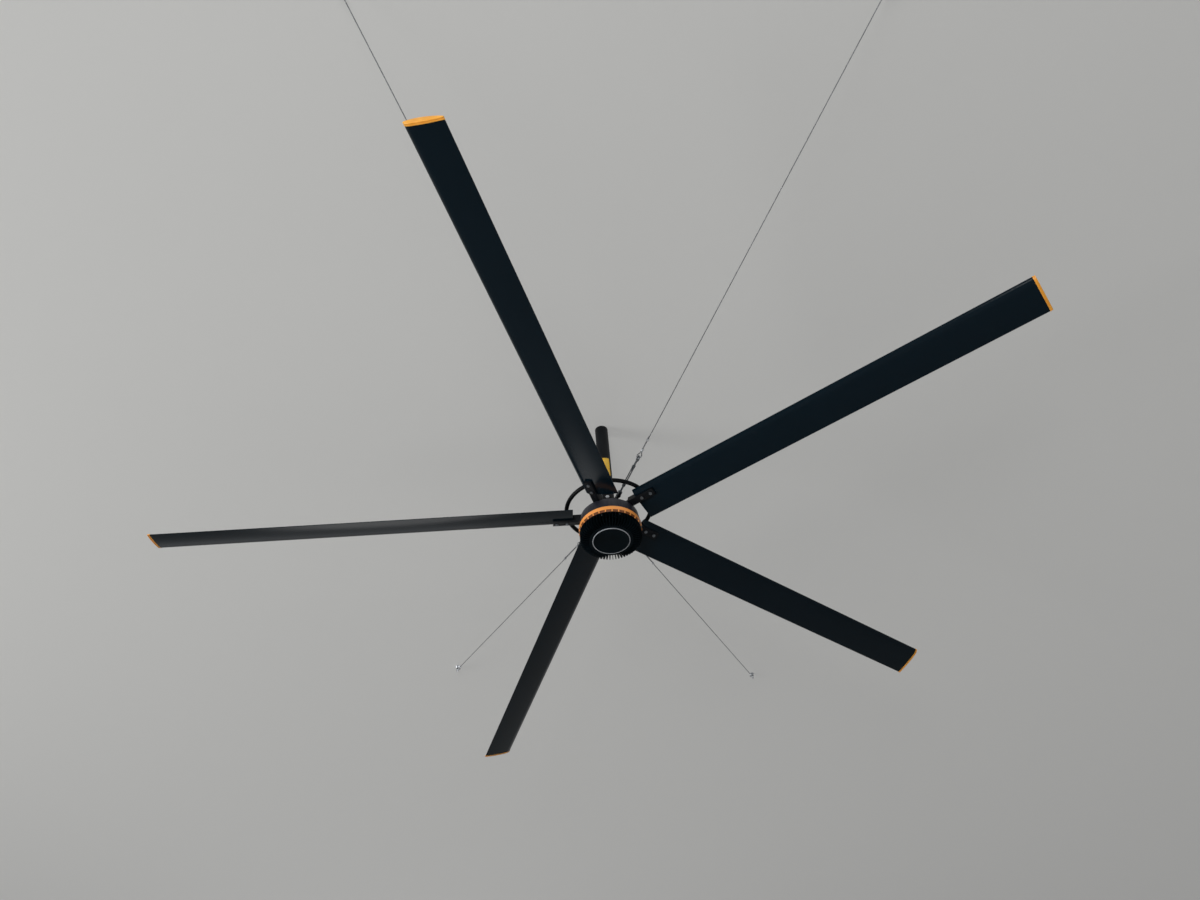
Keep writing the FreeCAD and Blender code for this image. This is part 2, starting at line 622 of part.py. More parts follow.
tooth.Profile = outline(back_iron, "tooth_outline", "XY_Plane", [
    ("slot_root - overlap", "-tooth_width / 2"), (SHOE, "-tooth_width / 2"), (SHOE_FACE, "-shoe_width / 2"),
    (TOOTH_END, "-shoe_width / 2"), (TOOTH_END, "shoe_width / 2"), (SHOE_FACE, "shoe_width / 2"),
    (SHOE, "tooth_width / 2"), ("slot_root - overlap", "tooth_width / 2"),
])
tooth.Profile[0].setExpression("AttachmentOffset.Base.z", formula("%s - %s" % (HUB_TOP, STACK_END)))
bind(tooth, Length="stack_height")
around(back_iron, tooth, "tooth_count")
bounds = cylinder("stator_bounds", STATOR_OUTER, "stack_height", z="%s - %s" % (HUB_TOP, STACK_END))
part("stator_core", common("core", back_iron, bounds))

COIL_IN = "(slot_root + coil_clearance)"
COIL_LENGTH = "(%s - slot_root - 2 * coil_clearance)" % SHOE
COIL_WIDTH = "(tooth_width + 2 * seat + 2 * coil_thickness)"
coil_outer = box("coil_outside", COIL_LENGTH, COIL_WIDTH, "stack_height + 2 * seat + 2 * coil_end",
                 x=COIL_IN, y="-%s / 2" % COIL_WIDTH, z="%s - %s - seat - coil_end" % (HUB_TOP, STACK_END))
coil_inner = box("coil_inside", COIL_LENGTH, "tooth_width + 2 * seat", "stack_height + 2 * seat",
                 x=COIL_IN, y="-tooth_width / 2 - seat", z="%s - %s - seat" % (HUB_TOP, STACK_END))
coil = cut("coil", coil_outer, coil_inner)
part("stator_windings", group("windings", placed(coil, *spread("tooth_count"))))

# Rotor: yoke with magnets, pressed into the upper cover.
YOKE_IN = "(rotor_bore - fit - yoke_thickness)"
part("rotor_yoke", turned("yoke", [
    (YOKE_IN, "yoke_depth"), ("rotor_bore - fit", "yoke_depth"),
    ("rotor_bore - fit", "yoke_depth + yoke_height"), (YOKE_IN, "yoke_depth + yoke_height"),
]))
MAGNET_LOW = "%s - yoke_depth - yoke_height / 2 - magnet_height / 2" % HUB_TOP
magnet_outer = cylinder("magnet_outside", YOKE_IN + " - fit", "magnet_height", z=MAGNET_LOW,
                        Angle="360 * magnet_share / magnet_count")
magnet_inner = cylinder("magnet_inside", YOKE_IN + " - fit - magnet_thickness", "magnet_height",
                        z=MAGNET_LOW)
magnet = cut("magnet", magnet_outer, magnet_inner)
part("rotor_magnets", group("magnets", placed(magnet, *spread("magnet_count"))))


# Frames of the blades: X runs out along the middle of the arm, -Y is the leading side, and Z is square
# to the blade.
def arm_frame(index):
    azimuth = size("first_azimuth") + 360.0 * index / size("blade_count")
    hang = FreeCAD.Placement(V(0, 0, -size("arm_drop")), FreeCAD.Rotation(UP, azimuth))
    fall = FreeCAD.Placement(V(0, 0, 0), FreeCAD.Rotation(ACROSS, size("droop")))
    tilt = FreeCAD.Placement(V(0, 0, 0), FreeCAD.Rotation(ALONG, -size("pitch")))
    return moved(hang.multiply(fall).multiply(tilt), V(0, -size("arm_offset"), 0))


ARMS = [arm_frame(i) for i in range(int(size("blade_count")))]

# Upper cover: a dished casting with a bearing seat and five sloping pockets in its roof for the arms.
UPPER_BOSS = "upper_outer / 2 + boss_wall"
BOSS_LOW = "upper_depth + upper_width + boss_lip"
cover = turned("cover_casting", [
    ("seal_outer", "0"), ("cover_top_radius - cover_edge_run", "0"), ("cover_top_radius", "cover_edge"),
    ("cover_low_radius", "cover_height"), ("rotor_bore", "cover_height"),
    ("rotor_bore", "cover_roof + bore_fall"), ("rotor_bore - bore_slope", "cover_roof"),
    (UPPER_BOSS, "cover_roof"), (UPPER_BOSS, BOSS_LOW), ("upper_outer / 2", BOSS_LOW),
    ("upper_outer / 2", "upper_depth"), ("seal_outer", "upper_depth"),
])
ARM_LOW = "-blade_seat - arm_thickness"
pocket = box("arm_pocket", "cover_low_radius", "arm_width + 2 * seat", "2 * arm_width",
             x="arm_inner - seat", y="-arm_width / 2 - seat", z=ARM_LOW)
arm_pockets = group("arm_pockets", placed(pocket, *ARMS))
HOLE_DEPTH = "(arm_bolt_grip + drill_spare)"
arm_hole = fuse("arm_holes", *[
    cylinder("arm_hole_%d" % i, "small_bolt / 2 + fit", "arm_thickness + " + HOLE_DEPTH,
             x="arm_bolt_first + %d * arm_bolt_pitch" % i, z="%s - %s" % (ARM_LOW, HOLE_DEPTH))
    for i in range(2)
])
cover_holes = group("cover_arm_holes", placed(arm_hole, *ARMS))
SCREW_CIRCLE = "((rotor_bore + band_bore) / 2)"
SCREW_LOW = "(band_height + flange_thickness)"
screw_hole = cylinder("screw_hole", "housing_screw / 2 + fit", SCREW_LOW + " + screw_grip + drill_spare",
                      x=SCREW_CIRCLE, z="%s - cover_height - %s" % (HUB_TOP, SCREW_LOW))
between_fins = spin(180.0 / size("fin_count"))
screw_places = [between_fins.multiply(turn) for turn in spread("housing_screw_count")]
screw_holes = group("screw_holes", placed(screw_hole, *screw_places))
part("upper_cover", cut("upper_cover_machined", cover, arm_pockets, cover_holes, screw_holes))

# Accent band between the cover and the fins: a smooth upper face and a toothed lower face that leans in.
BAND_END = "(cover_height + band_height)"
band = turned("band", [
    ("band_bore + fit", "cover_height"), ("band_radius - band_edge", "cover_height"),
    ("band_radius", "cover_height + band_edge"), ("band_radius", BAND_END + " - band_low"),
    ("band_radius - band_undercut", BAND_END), ("band_bore + fit", BAND_END),
])
part("accent_band", ribbed(band, "band_rib", [
    ("band_bore + overlap", BAND_END + " - band_low - overlap"),
    ("band_radius", BAND_END + " - band_low - overlap"),
    ("band_radius", BAND_END), ("band_bore + overlap", BAND_END),
], "rib_width", "rib_count"))

# Lower housing: spigot inside the band, flange, finned wall, floor with the lower bearing seat.
FLANGE_END = "(cover_height + band_height + flange_thickness)"
FLOOR = "(cover_height + band_height + flange_thickness + fin_height)"
housing = turned("housing", [
    ("rotor_bore", "cover_height"), ("band_bore", "cover_height"), ("band_bore", BAND_END),
    ("flange_radius", BAND_END), ("flange_radius", FLANGE_END), ("core_radius", FLANGE_END),
    ("core_radius", FLOOR),
    ("mouth_radius", FLOOR), ("mouth_radius", FLOOR + " - housing_wall"),
    ("lower_outer / 2", FLOOR + " - housing_wall"), ("lower_outer / 2", LOWER_TOP),
    ("lower_outer / 2 + boss_wall", LOWER_TOP), ("lower_outer / 2 + boss_wall", FLOOR + " - housing_wall"),
    ("core_radius - housing_wall", FLOOR + " - housing_wall"),
    ("core_radius - housing_wall", FLANGE_END + " - housing_wall"),
    ("rotor_bore", FLANGE_END + " - housing_wall"),
])
ribbed(housing, "fin", [
    ("core_radius - overlap", FLANGE_END + " - overlap"), ("flange_radius", FLANGE_END + " - overlap"),
    ("flange_radius", FLOOR + " - fin_chamfer"), ("flange_radius - fin_chamfer", FLOOR),
    ("core_radius - overlap", FLOOR),
], "fin_thickness", "fin_count")
part("lower_housing", cut("lower_housing_machined", housing, screw_holes))
screw_shank = cylinder("screw_shank", "housing_screw / 2", SCREW_LOW + " + screw_grip", x=SCREW_CIRCLE,
                       z="%s - %s" % (HUB_TOP, FLANGE_END))
screw_cap = cylinder("screw_cap", "screw_head_radius", "screw_head", x=SCREW_CIRCLE,
                     z="%s - %s - screw_head" % (HUB_TOP, FLANGE_END))
housing_screw = fuse("one_housing_screw", screw_shank, screw_cap)
part("housing_screws", group("all_housing_screws", placed(housing_screw, *screw_places)))
part("bottom_cover", cylinder("bottom_disc", "bottom_radius", "bottom_thickness",
                              z="%s - %s - bottom_thickness" % (HUB_TOP, FLOOR)))
part("trim_ring", turned("trim", [
    ("bottom_radius + seat", FLOOR), ("bottom_radius + trim_width", FLOOR),
    ("bottom_radius + trim_width", FLOOR + " + bottom_thickness"),
    ("bottom_radius + trim_width - trim_edge", FLOOR + " + bottom_thickness + trim_proud"),
    ("bottom_radius + seat", FLOOR + " + bottom_thickness + trim_proud"),
]))

# Arms: bars from the pockets out under the blades, with a raised heel that the blade butts against,
# drilled for two hub bolts and two blade bolts.
arm_bar = box("arm_bar", "arm_outer - arm_inner", "arm_width", "arm_thickness",
              x="arm_inner", y="-arm_width / 2", z=ARM_LOW)
arm_heel = box("arm_heel", "root_radius - seat - heel_start", "arm_width", "heel_height + overlap",
               x="heel_start", y="-arm_width / 2", z="-blade_seat - overlap")
bar_holes = [
    cylinder("bar_hole_%d" % i, "small_bolt / 2 + fit", "arm_thickness", x=x, z=ARM_LOW)
    for i, x in enumerate(["arm_bolt_first", "arm_bolt_first + arm_bolt_pitch",
                           "ring_radius", "ring_radius + blade_bolt_pitch"])
]
arm = cut("arm", fuse("arm_blank", arm_bar, arm_heel), *bar_holes)
part("blade_arms", group("arms", placed(arm, *ARMS)))
arm_bolt = hex_bolt("arm_bolt", "small_bolt / 2", "small_across", "small_head",
                    "arm_thickness + arm_bolt_grip")
arm_bolts = []
for i in range(2):
    head = V(size("arm_bolt_first") + i * size("arm_bolt_pitch"), 0, -size("blade_seat"))
    arm_bolts += placed(arm_bolt, *[moved(frame, head) for frame in ARMS])
part("arm_bolts", group("all_arm_bolts", arm_bolts))


# Blades: an aerofoil with a flat underside, a round nose and an arched back, with a hollow cell over the
# arm.
UNDERSIDE = -size("blade_seat")
CROWN = UNDERSIDE + size("blade_thickness")


def aerofoil(x, inset, tail, edge):
    """The blade's outline at x, drawn in by inset all round and by tail at its trailing edge; edge is
    the height of that end."""
    low = UNDERSIDE + inset
    high = size("blade_thickness") - 2 * inset
    nose = inset - size("nose_to_arm")
    rear = size("chord") - size("nose_to_arm") - tail
    share = high / size("blade_thickness")
    chin = size("nose_height") * share
    flat = nose + size("nose_reach") * share
    full = nose + size("crown_share") * (rear - nose)
    rise = (4 * high - 2 * chin + edge) / 3
    back = Part.BezierCurve()
    back.setPoles([V(x, nose, low + chin), V(x, nose, low + rise), V(x, full, low + rise + chin - edge),
                   V(x, rear, low + edge)])
    front = Part.BezierCurve()
    front.setPoles([V(x, flat, low), V(x, flat + size("nose_share") * (nose - flat), low),
                    V(x, nose, low + (1 - size("nose_share")) * chin), V(x, nose, low + chin)])
    under = Part.LineSegment(V(x, rear, low), V(x, flat, low))
    end = Part.LineSegment(V(x, rear, low + edge), V(x, rear, low))
    return Part.Wire([under.toShape(), front.toShape(), back.toShape(), end.toShape()])


def drawn_out(wire, length):
    return Part.Face(wire).extrude(V(length, 0, 0))


def upright_slab(start, length, low_y, width):
    """A box along the blade, taller than the blade."""
    reach = 2 * size("blade_thickness")
    return Part.makeBox(length, width, 2 * reach, V(start, low_y, -reach))


root = size("root_radius")
span = size("tip_radius") - size("cap_length") - root
cell = size("arm_width") / 2 + 2 * size("seat")
bolt_stations = [size("ring_radius"), size("ring_radius") + size("blade_bolt_pitch")]
hollow = Part.Face(aerofoil(root, size("skin"), size("tail_solid"), size("hollow_end")))
webs = [upright_slab(root - span / 2, span, y, size("skin")) for y in (-cell - size("skin"), cell)]
section = Part.Face(aerofoil(root, 0, 0, size("edge_thickness"))).cut(hollow.cut(webs))
bolt_hole = size("small_bolt") / 2 + size("fit")
askew = FreeCAD.Rotation(UP, 45)
blade_holes = []
for x, top in zip(bolt_stations, (CROWN, UNDERSIDE + size("skin"))):
    hole = Part.makeCylinder(bolt_hole, top - UNDERSIDE)
    hole.Placement = FreeCAD.Placement(V(x, 0, UNDERSIDE), askew)
    blade_holes.append(hole)
blade_shape = section.Faces[0].extrude(V(span, 0, 0)).cut(blade_holes)

# End caps: a lip over the blade's end, a rounded outer face and a plug in the cell.
cap_start = size("tip_radius") - size("cap_length")
rim_length = size("cap_length") - size("cap_round")
lip = size("cap_lip")
lip_edge = size("edge_thickness") + 2 * lip
rim = drawn_out(aerofoil(cap_start, -lip, -lip, lip_edge), rim_length)
cap_end = Part.makeLoft([aerofoil(cap_start + rim_length, -lip, -lip, lip_edge),
                         aerofoil(size("tip_radius"), lip, 2 * lip, size("edge_thickness"))], True, True)
plug_start = cap_start - size("cap_plug")
plug_side = cell - 2 * size("seat")
plug_section = aerofoil(plug_start, size("skin") + 2 * size("seat"), size("tail_solid"), size("hollow_end"))
plug = drawn_out(plug_section, size("cap_plug"))
plug = plug.common(upright_slab(plug_start, size("cap_plug"), -plug_side, 2 * plug_side))
cap_shape = rim.fuse(cap_end).fuse(plug).removeSplitter()
for i, frame in enumerate(ARMS, 1):
    for name, shape in (("blade_%d" % i, blade_shape), ("end_cap_%d" % i, cap_shape)):
        piece = part(name, doc.addObject("Part::Feature", name))
        piece.Shape = shape
        piece.Placement = frame

# Backing plates inside the blades' cells, drilled for the blade bolts.
backing_bar = box("backing_bar", "backing_length", "arm_width", "backing_thickness",
                  x="ring_radius + (blade_bolt_pitch - backing_length) / 2", y="-arm_width / 2",
                  z="-blade_seat + skin")
backing_holes = [
    cylinder("backing_hole_%d" % i, "small_bolt / 2 + fit", "backing_thickness", x=x, z="-blade_seat + skin")
    for i, x in enumerate(["ring_radius", "ring_radius + blade_bolt_pitch"])
]
part("backing_plates", group("plates", placed(cut("backing", backing_bar, *backing_holes), *ARMS)))

# Safety ring on a saddle over each blade root; the inner blade bolts run up into the saddles.
ring_height = "-arm_drop + ring_rise"
part("safety_ring", torus("ring", "ring_radius", "ring_tube / 2", z=ring_height))
saddle_block = box("saddle_block", "saddle_length", "saddle_width", "saddle_height",
                   x="ring_radius - saddle_length / 2", y="-saddle_width / 2")
saddle_block.Placement.Base.z = CROWN
saddle_hole = Part.makeCylinder(bolt_hole, size("saddle_grip") + size("drill_spare"),
                                V(size("ring_radius"), 0, CROWN))
ring_groove = Part.makeTorus(size("ring_radius"), size("ring_tube") / 2 + size("fit"),
                             V(0, 0, -size("arm_drop") + size("ring_rise")))
saddles = []
for frame, saddle in zip(ARMS, placed(saddle_block, *ARMS)):
    hole = saddle_hole.copy()
    hole.Placement = frame
    saddles.append(saddle.cut([hole, ring_groove]))
part("ring_saddles", group("saddles", saddles))
FACE_UP = FreeCAD.Rotation(ALONG, 180)
long_bolt = hex_bolt("long_bolt", "small_bolt / 2", "small_across", "small_head",
                     "arm_thickness + blade_thickness + saddle_grip")
short_bolt = hex_bolt("short_bolt", "small_bolt / 2", "small_across", "small_head",
                      "arm_thickness + skin + backing_thickness")
head_height = UNDERSIDE - size("arm_thickness")
blade_bolts = []
for bolt, x in zip((long_bolt, short_bolt), bolt_stations):
    blade_bolts += placed(bolt, *[moved(frame, V(x, 0, head_height), FACE_UP) for frame in ARMS])
part("blade_bolts", group("all_blade_bolts", blade_bolts))

# Guy clamp: two halves round the rod's foot, each with two lugs that point at their ceiling eyes.
CLAMP_MIDDLE = "-arm_drop + lug_rise"
lug_height = -size("arm_drop") + size("lug_rise")
azimuths = {guy: size("guy_azimuth_" + guy) for guy in GUYS}


def lug(guy):
    """A flat lug in the wire's upright plane, with a round end and a pin hole."""
    bar = box("lug_bar_" + guy, "lug_radius - (rod_outer + clamp_wall) / 2", "lug_thickness", "2 * lug_eye",
              x="(rod_outer + clamp_wall) / 2", y="-lug_thickness / 2", z="-lug_eye")
    rounds = []
    for name, radius in (("lug_end_", "lug_eye"), ("lug_hole_", "pin / 2 + fit")):
        thing = cylinder(name + guy, radius, "lug_thickness", x="lug_radius", y="lug_thickness / 2")
        rounds.append(turned_over(thing, ALONG, 90))
    drilled = cut("lug_" + guy, fuse("lug_blank_" + guy, bar, rounds[0]), rounds[1])
    return placed(drilled, spin(azimuths[guy], lug_height))[0]


def clamp_half(label, side, guys):
    """Half of the clamp; side is -1 in front of the rod and +1 behind it."""
    low = CLAMP_MIDDLE + " - clamp_height / 2"
    outside = cylinder(label + "_outside", "rod_outer / 2 + clamp_wall", "clamp_height", z=low, Angle="180")
    tab = box(label + "_tabs", "2 * tab_reach", "tab_thickness", "clamp_height",
              x="-tab_reach", y="clamp_gap / 2", z=low)
    inside = cylinder(label + "_inside", "rod_outer / 2 + fit", "clamp_height", z=low)
    gap = box(label + "_gap", "2 * tab_reach", "clamp_gap", "clamp_height",
              x="-tab_reach", y="-clamp_gap / 2", z=low)
    holes = []
    for i, x in enumerate(("-tab_bolt", "tab_bolt")):
        hole = cylinder("%s_hole_%d" % (label, i), "small_bolt / 2 + fit", "4 * tab_thickness", x=x,
                        y="-2 * tab_thickness", z=CLAMP_MIDDLE)
        holes.append(turned_over(hole, ALONG, -90))
    half = cut(label + "_plain", fuse(label + "_rough", outside, tab), inside, gap, *holes)
    body = placed(half, spin(90 + 90 * -side))[0]
    bore = Part.makeCylinder(size("rod_outer") / 2 + size("fit"), 2 * size("clamp_height"),
                             V(0, 0, lug_height - size("clamp_height")))
    shape = body.fuse([lug(guy) for guy in guys]).cut(bore).removeSplitter()
    held = part(label, doc.addObject("Part::Feature", label))
    held.Shape = shape


clamp_half("guy_clamp_front", -1, GUYS[:2])
clamp_half("guy_clamp_rear", 1, GUYS[2:])
tab_face = size("clamp_gap") / 2 + size("tab_thickness")
tab_bolt = hex_bolt("tab_bolts", "small_bolt / 2", "small_across", "small_head",
                    "clamp_gap + 2 * tab_thickness + small_nut + bolt_tail")
tab_nut = hex_nut("tab_nut", "small_bolt / 2", "small_across", "small_nut")
tab_set = []
for x in (-size("tab_bolt"), size("tab_bolt")):
    for thing, side in ((tab_bolt, -1), (tab_nut, 1)):
        face = FreeCAD.Placement(V(x, side * tab_face, lug_height), FreeCAD.Rotation(UP, V(0, side, 0)))
        tab_set += placed(thing, face)
part("guy_clamp_bolts", group("clamp_bolts", tab_set))


# Guy lines: X runs from the lug's pin up the wire to the middle of the ceiling eye.
def guy_line(guy):
    """Placement of a guy line and its length from the pin to the ceiling eye."""
    rise = -size("ceiling_depth") - size("ceiling_eye_drop") - lug_height
    run = size("guy_reach_" + guy) - size("lug_radius")
    climb = math.degrees(math.atan2(rise, run))
    lift = FreeCAD.Rotation(ACROSS, -climb)
    return moved(spin(azimuths[guy], lug_height), V(size("lug_radius"), 0, 0), lift), math.hypot(rise, run)


LINES = {guy: guy_line(guy) for guy in GUYS}
STARTS = [LINES[guy][0] for guy in GUYS]


def rod_along(name, radius, length, **place):
    """A cylinder along the guy line."""
    return bind(turned_over(cylinder(name, radius, length), ACROSS, 90), **place)


# Jaws, pins, turnbuckle bodies and eye screws.
JAW_SLOT = "(lug_thickness + jaw_play)"
JAW_WIDTH = "(%s + 2 * jaw_wall)" % JAW_SLOT
jaw_block = box("jaw_block", "jaw_length + jaw_height / 2", JAW_WIDTH, "jaw_height",
                x="-jaw_height / 2", y="-%s / 2" % JAW_WIDTH, z="-jaw_height / 2")
jaw_slot = box("jaw_slot", "jaw_heel + jaw_height / 2", JAW_SLOT, "jaw_height",
               x="-jaw_height / 2", y="-%s / 2" % JAW_SLOT, z="-jaw_height / 2")
jaw_hole = turned_over(cylinder("jaw_hole", "pin / 2 + fit", JAW_WIDTH, y="%s / 2" % JAW_WIDTH), ALONG, 90)
jaw_screw = rod_along("jaw_screw", "screw / 2", "body_start + screw_depth - jaw_length + overlap",
                      x="jaw_length - overlap")
jaw = fuse("jaw", cut("jaw_fork", jaw_block, jaw_slot, jaw_hole), jaw_screw)
part("turnbuckle_jaws", group("jaws", placed(jaw, *STARTS)))
pin_shank = cylinder("pin_shank", "pin / 2", JAW_WIDTH + " + overlap + pin_tail",
                     y=JAW_WIDTH + " / 2 + overlap")
pin_cap = cylinder("pin_cap", "pin_head / 2", "pin_head_height", y=JAW_WIDTH + " / 2 + pin_head_height")
jaw_pin = fuse("jaw_pin", turned_over(pin_shank, ALONG, 90), turned_over(pin_cap, ALONG, 90))
part("jaw_pins", group("pins", placed(jaw_pin, *STARTS)))
BAR_LENGTH = "body_length - 2 * bar_inset"
body_bars = [rod_along("body_bar_%d" % i, "bar_size / 2", BAR_LENGTH, x="body_start + bar_inset", z=z)
             for i, z in enumerate(("-bar_spacing / 2", "bar_spacing / 2"))]
body_ends = [rod_along("body_end_%d" % i, "body_end_diameter / 2", "body_end", x=x)
             for i, x in enumerate(("body_start", "body_start + body_length - body_end"))]
body_thread = rod_along("body_thread", "screw / 2 + fit", "body_length", x="body_start")
turnbuckle = cut("turnbuckle", fuse("turnbuckle_blank", *body_bars, *body_ends), body_thread)
for guy, start in zip(GUYS, STARTS):
    piece = part("turnbuckle_body_" + guy, doc.addObject("Part::Feature", "turnbuckle_body_" + guy))
    piece.Shape = placed(turnbuckle, start)[0]
EYE_SCREW = "body_start + body_length - screw_depth"
eye_screw = rod_along("eye_screw", "screw / 2", "eye_reach - eye_radius - (%s)" % EYE_SCREW, x=EYE_SCREW)
eye_ring = turned_over(torus("eye_ring", "eye_radius", "eye_bar / 2", x="eye_reach"), ALONG, 90)
part("turnbuckle_eyes", group("eyes", placed(fuse("turnbuckle_eye", eye_screw, eye_ring), *STARTS)))

# Wire ends: a thimble hooked through its eye, the wire's loop round it, and a ferrule on both legs.
LOOP = "(thimble_radius + thimble_wall + wire / 2 + fit)"
HALF_LOOP = math.radians((360 - size("loop_angle")) / 2)
loop_radius = size("thimble_radius") + size("thimble_wall") + size("wire") / 2 + size("fit")
leg_fall = loop_radius * math.sin(HALF_LOOP) - size("wire") / 2 - size("fit")
leg_length = leg_fall / math.cos(HALF_LOOP)
ferrule_start = loop_radius * math.cos(HALF_LOOP) + leg_length * math.sin(HALF_LOOP)
ferrule_start += size("wire") / 2 * math.cos(HALF_LOOP) + size("seat")
hook_inside = math.sqrt((size("eye_radius") - size("eye_bar") / 2) ** 2 - (size("thimble_width") / 2) ** 2)
hook_inside += size("thimble_radius") - size("seat")
ferrule_end = hook_inside + ferrule_start + size("ferrule_length")

thimble_outer = cylinder("thimble_outside", "thimble_radius + thimble_wall", "thimble_width",
                         z="-thimble_width / 2", Angle="loop_angle")
turned_over(thimble_outer, UP, 180 - size("loop_angle") / 2)
thimble_inner = cylinder("thimble_inside", "thimble_radius", "thimble_width", z="-thimble_width / 2")
thimble = cut("thimble", thimble_outer, thimble_inner)
loop_arc = torus("loop_arc", LOOP, "wire / 2", Angle3="loop_angle")
turned_over(loop_arc, UP, 180 - size("loop_angle") / 2)
legs = []
for side in (-1, 1):
    foot = V(loop_radius * math.cos(HALF_LOOP), side * loop_radius * math.sin(HALF_LOOP), 0)
    way = V(math.sin(HALF_LOOP), -side * math.cos(HALF_LOOP), 0)
    leg = cylinder("loop_leg_%d" % len(legs), "wire / 2", str(leg_length))
    leg.Placement = FreeCAD.Placement(foot, FreeCAD.Rotation(UP, way))
    legs.append(leg)
loop = fuse("wire_loop", loop_arc, *legs)
FERRULE_WIDTH = "(2 * wire + 2 * ferrule_wall)"
FERRULE_HEIGHT = "(wire + 2 * ferrule_wall)"
ferrule_sides = [rod_along("ferrule_side_%d" % i, FERRULE_HEIGHT + " / 2", "ferrule_length", y=y)
                 for i, y in enumerate(("-wire / 2", "wire / 2"))]
ferrule_middle = box("ferrule_middle", "ferrule_length", "wire", FERRULE_HEIGHT,
                     y="-wire / 2", z="-%s / 2" % FERRULE_HEIGHT)
ferrule = fuse("ferrule", ferrule_middle, *ferrule_sides)
clip_block = box("clip_block", "tail_clip", FERRULE_HEIGHT, FERRULE_WIDTH, x="-tail_clip / 2",
                 y="-%s / 2" % FERRULE_HEIGHT, z="-wire / 2 - ferrule_wall")
clip_bores = [rod_along("clip_bore_%d" % i, "wire / 2 + fit", "2 * tail_clip", x="-tail_clip", z=z)
              for i, z in enumerate(("0", "wire + 2 * seat"))]
tail_clip = cut("tail_clip_block", clip_block, *clip_bores)
BACK = FreeCAD.Rotation(UP, 180)
run_start = size("eye_reach") + ferrule_end
tail_height = size("wire") + 2 * size("seat")
thimbles = []
ferrules = []
for guy in GUYS:
    start, length = LINES[guy]
    offset = size("clip_offset_" + guy)
    ends = [moved(start, V(size("eye_reach") + hook_inside, 0, 0)),
            moved(start, V(length - hook_inside, 0, 0), BACK)]
    thimbles += placed(thimble, *ends)
    ferrules += placed(ferrule, *[moved(end, V(ferrule_start, 0, 0)) for end in ends])
    ferrules += placed(tail_clip, moved(start, V(run_start + offset, 0, 0)))
    run = Part.makeCylinder(size("wire") / 2, length - ferrule_end - run_start, V(run_start, 0, 0), ALONG)
    tail_length = offset + size("tail_clip") / 2 + size("tail_end")
    tail = Part.makeCylinder(size("wire") / 2, tail_length, V(run_start, 0, tail_height), ALONG)
    for shape in (run, tail):
        shape.Placement = start
    part("guy_wire_" + guy, group("guy_wire_" + guy, [run, tail] + placed(loop, *ends)))
part("guy_thimbles", group("thimbles", thimbles))
part("guy_ferrules", group("ferrules", ferrules))

# Ceiling eyes: collar eye bolts that hang below the finished ceiling and reach up to the structure.
EYE_DEPTH = "(ceiling_depth + ceiling_eye_drop)"
ceiling_shank = cylinder("ceiling_shank", "eye_bar / 2", EYE_DEPTH + " - eye_radius",
                         z="-%s + eye_radius" % EYE_DEPTH)
ceiling_collar = cylinder("ceiling_collar", "ceiling_washer", "washer_height",
                          z="-ceiling_depth - washer_height")
ceiling_ring = turned_over(torus("ceiling_ring", "eye_radius", "eye_bar / 2", z="-" + EYE_DEPTH), ALONG, 90)
ceiling_eye = fuse("ceiling_eye", ceiling_shank, ceiling_collar, ceiling_ring)
eye_places = []
for guy in GUYS:
    out = FreeCAD.Rotation(UP, azimuths[guy])
    eye_places.append(FreeCAD.Placement(out.multVec(V(size("guy_reach_" + guy), 0, 0)), out))
part("ceiling_eyes", group("all_ceiling_eyes", placed(ceiling_eye, *eye_places)))

doc.recompute()
faults = [o.Name for o in doc.Objects if "Invalid" in o.State or "Error" in o.State]
faults += [label for label, thing in parts.items() if thing.Shape.isNull() or not thing.Shape.isValid()]
if faults:
    raise RuntimeError("these objects failed: " + ", ".join(faults))
os.makedirs("parts", exist_ok=True)
for label, thing in parts.items():
    thing.Shape.exportStep("parts/%s.step" % label)
    print(label, len(thing.Shape.Solids), "solids", round(thing.Shape.Volume / 1000.0, 1), "cm3")
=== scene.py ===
# %% [markdown]
# # A large, slow ceiling fan
# Five long hollow blades turn on a flat finned motor. The motor hangs from a round rod, and four thin wires
# keep the rod from swaying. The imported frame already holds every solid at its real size, so this lesson only
# models the finer forms over those solids and gives each surface its finish.

# %% Load the frame
import json
import math

import bmesh
import bpy
from bmesh.types import BMEdge, BMFace, BMVert
from mathutils import Matrix, Vector
from mathutils.geometry import interpolate_bezier


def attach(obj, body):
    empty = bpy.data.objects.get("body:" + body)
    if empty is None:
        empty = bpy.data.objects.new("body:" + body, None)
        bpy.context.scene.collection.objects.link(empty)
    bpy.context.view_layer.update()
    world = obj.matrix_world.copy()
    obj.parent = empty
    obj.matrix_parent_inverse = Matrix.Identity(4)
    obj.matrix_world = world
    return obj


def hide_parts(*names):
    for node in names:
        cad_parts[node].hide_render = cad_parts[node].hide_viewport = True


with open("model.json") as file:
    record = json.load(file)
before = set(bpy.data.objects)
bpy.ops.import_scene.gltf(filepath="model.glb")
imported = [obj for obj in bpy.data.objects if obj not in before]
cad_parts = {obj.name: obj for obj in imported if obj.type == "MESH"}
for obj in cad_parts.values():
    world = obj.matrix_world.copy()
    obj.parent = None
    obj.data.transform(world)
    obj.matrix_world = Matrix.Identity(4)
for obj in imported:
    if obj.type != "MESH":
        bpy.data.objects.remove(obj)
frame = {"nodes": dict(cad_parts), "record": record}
scene = bpy.context.scene
scene.view_settings.view_transform = "Standard"
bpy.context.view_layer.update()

# %% [markdown]
# ## Camera
# The fan is seen from the floor of a tall room, looking up at about 47 degrees, with the camera held a few
# degrees out of level. A camera matrix is just its three axes side by side: right, up and backwards. Writing
# those axes from the pitch and roll keeps the numbers readable, which a rotation in Euler angles doesn't.

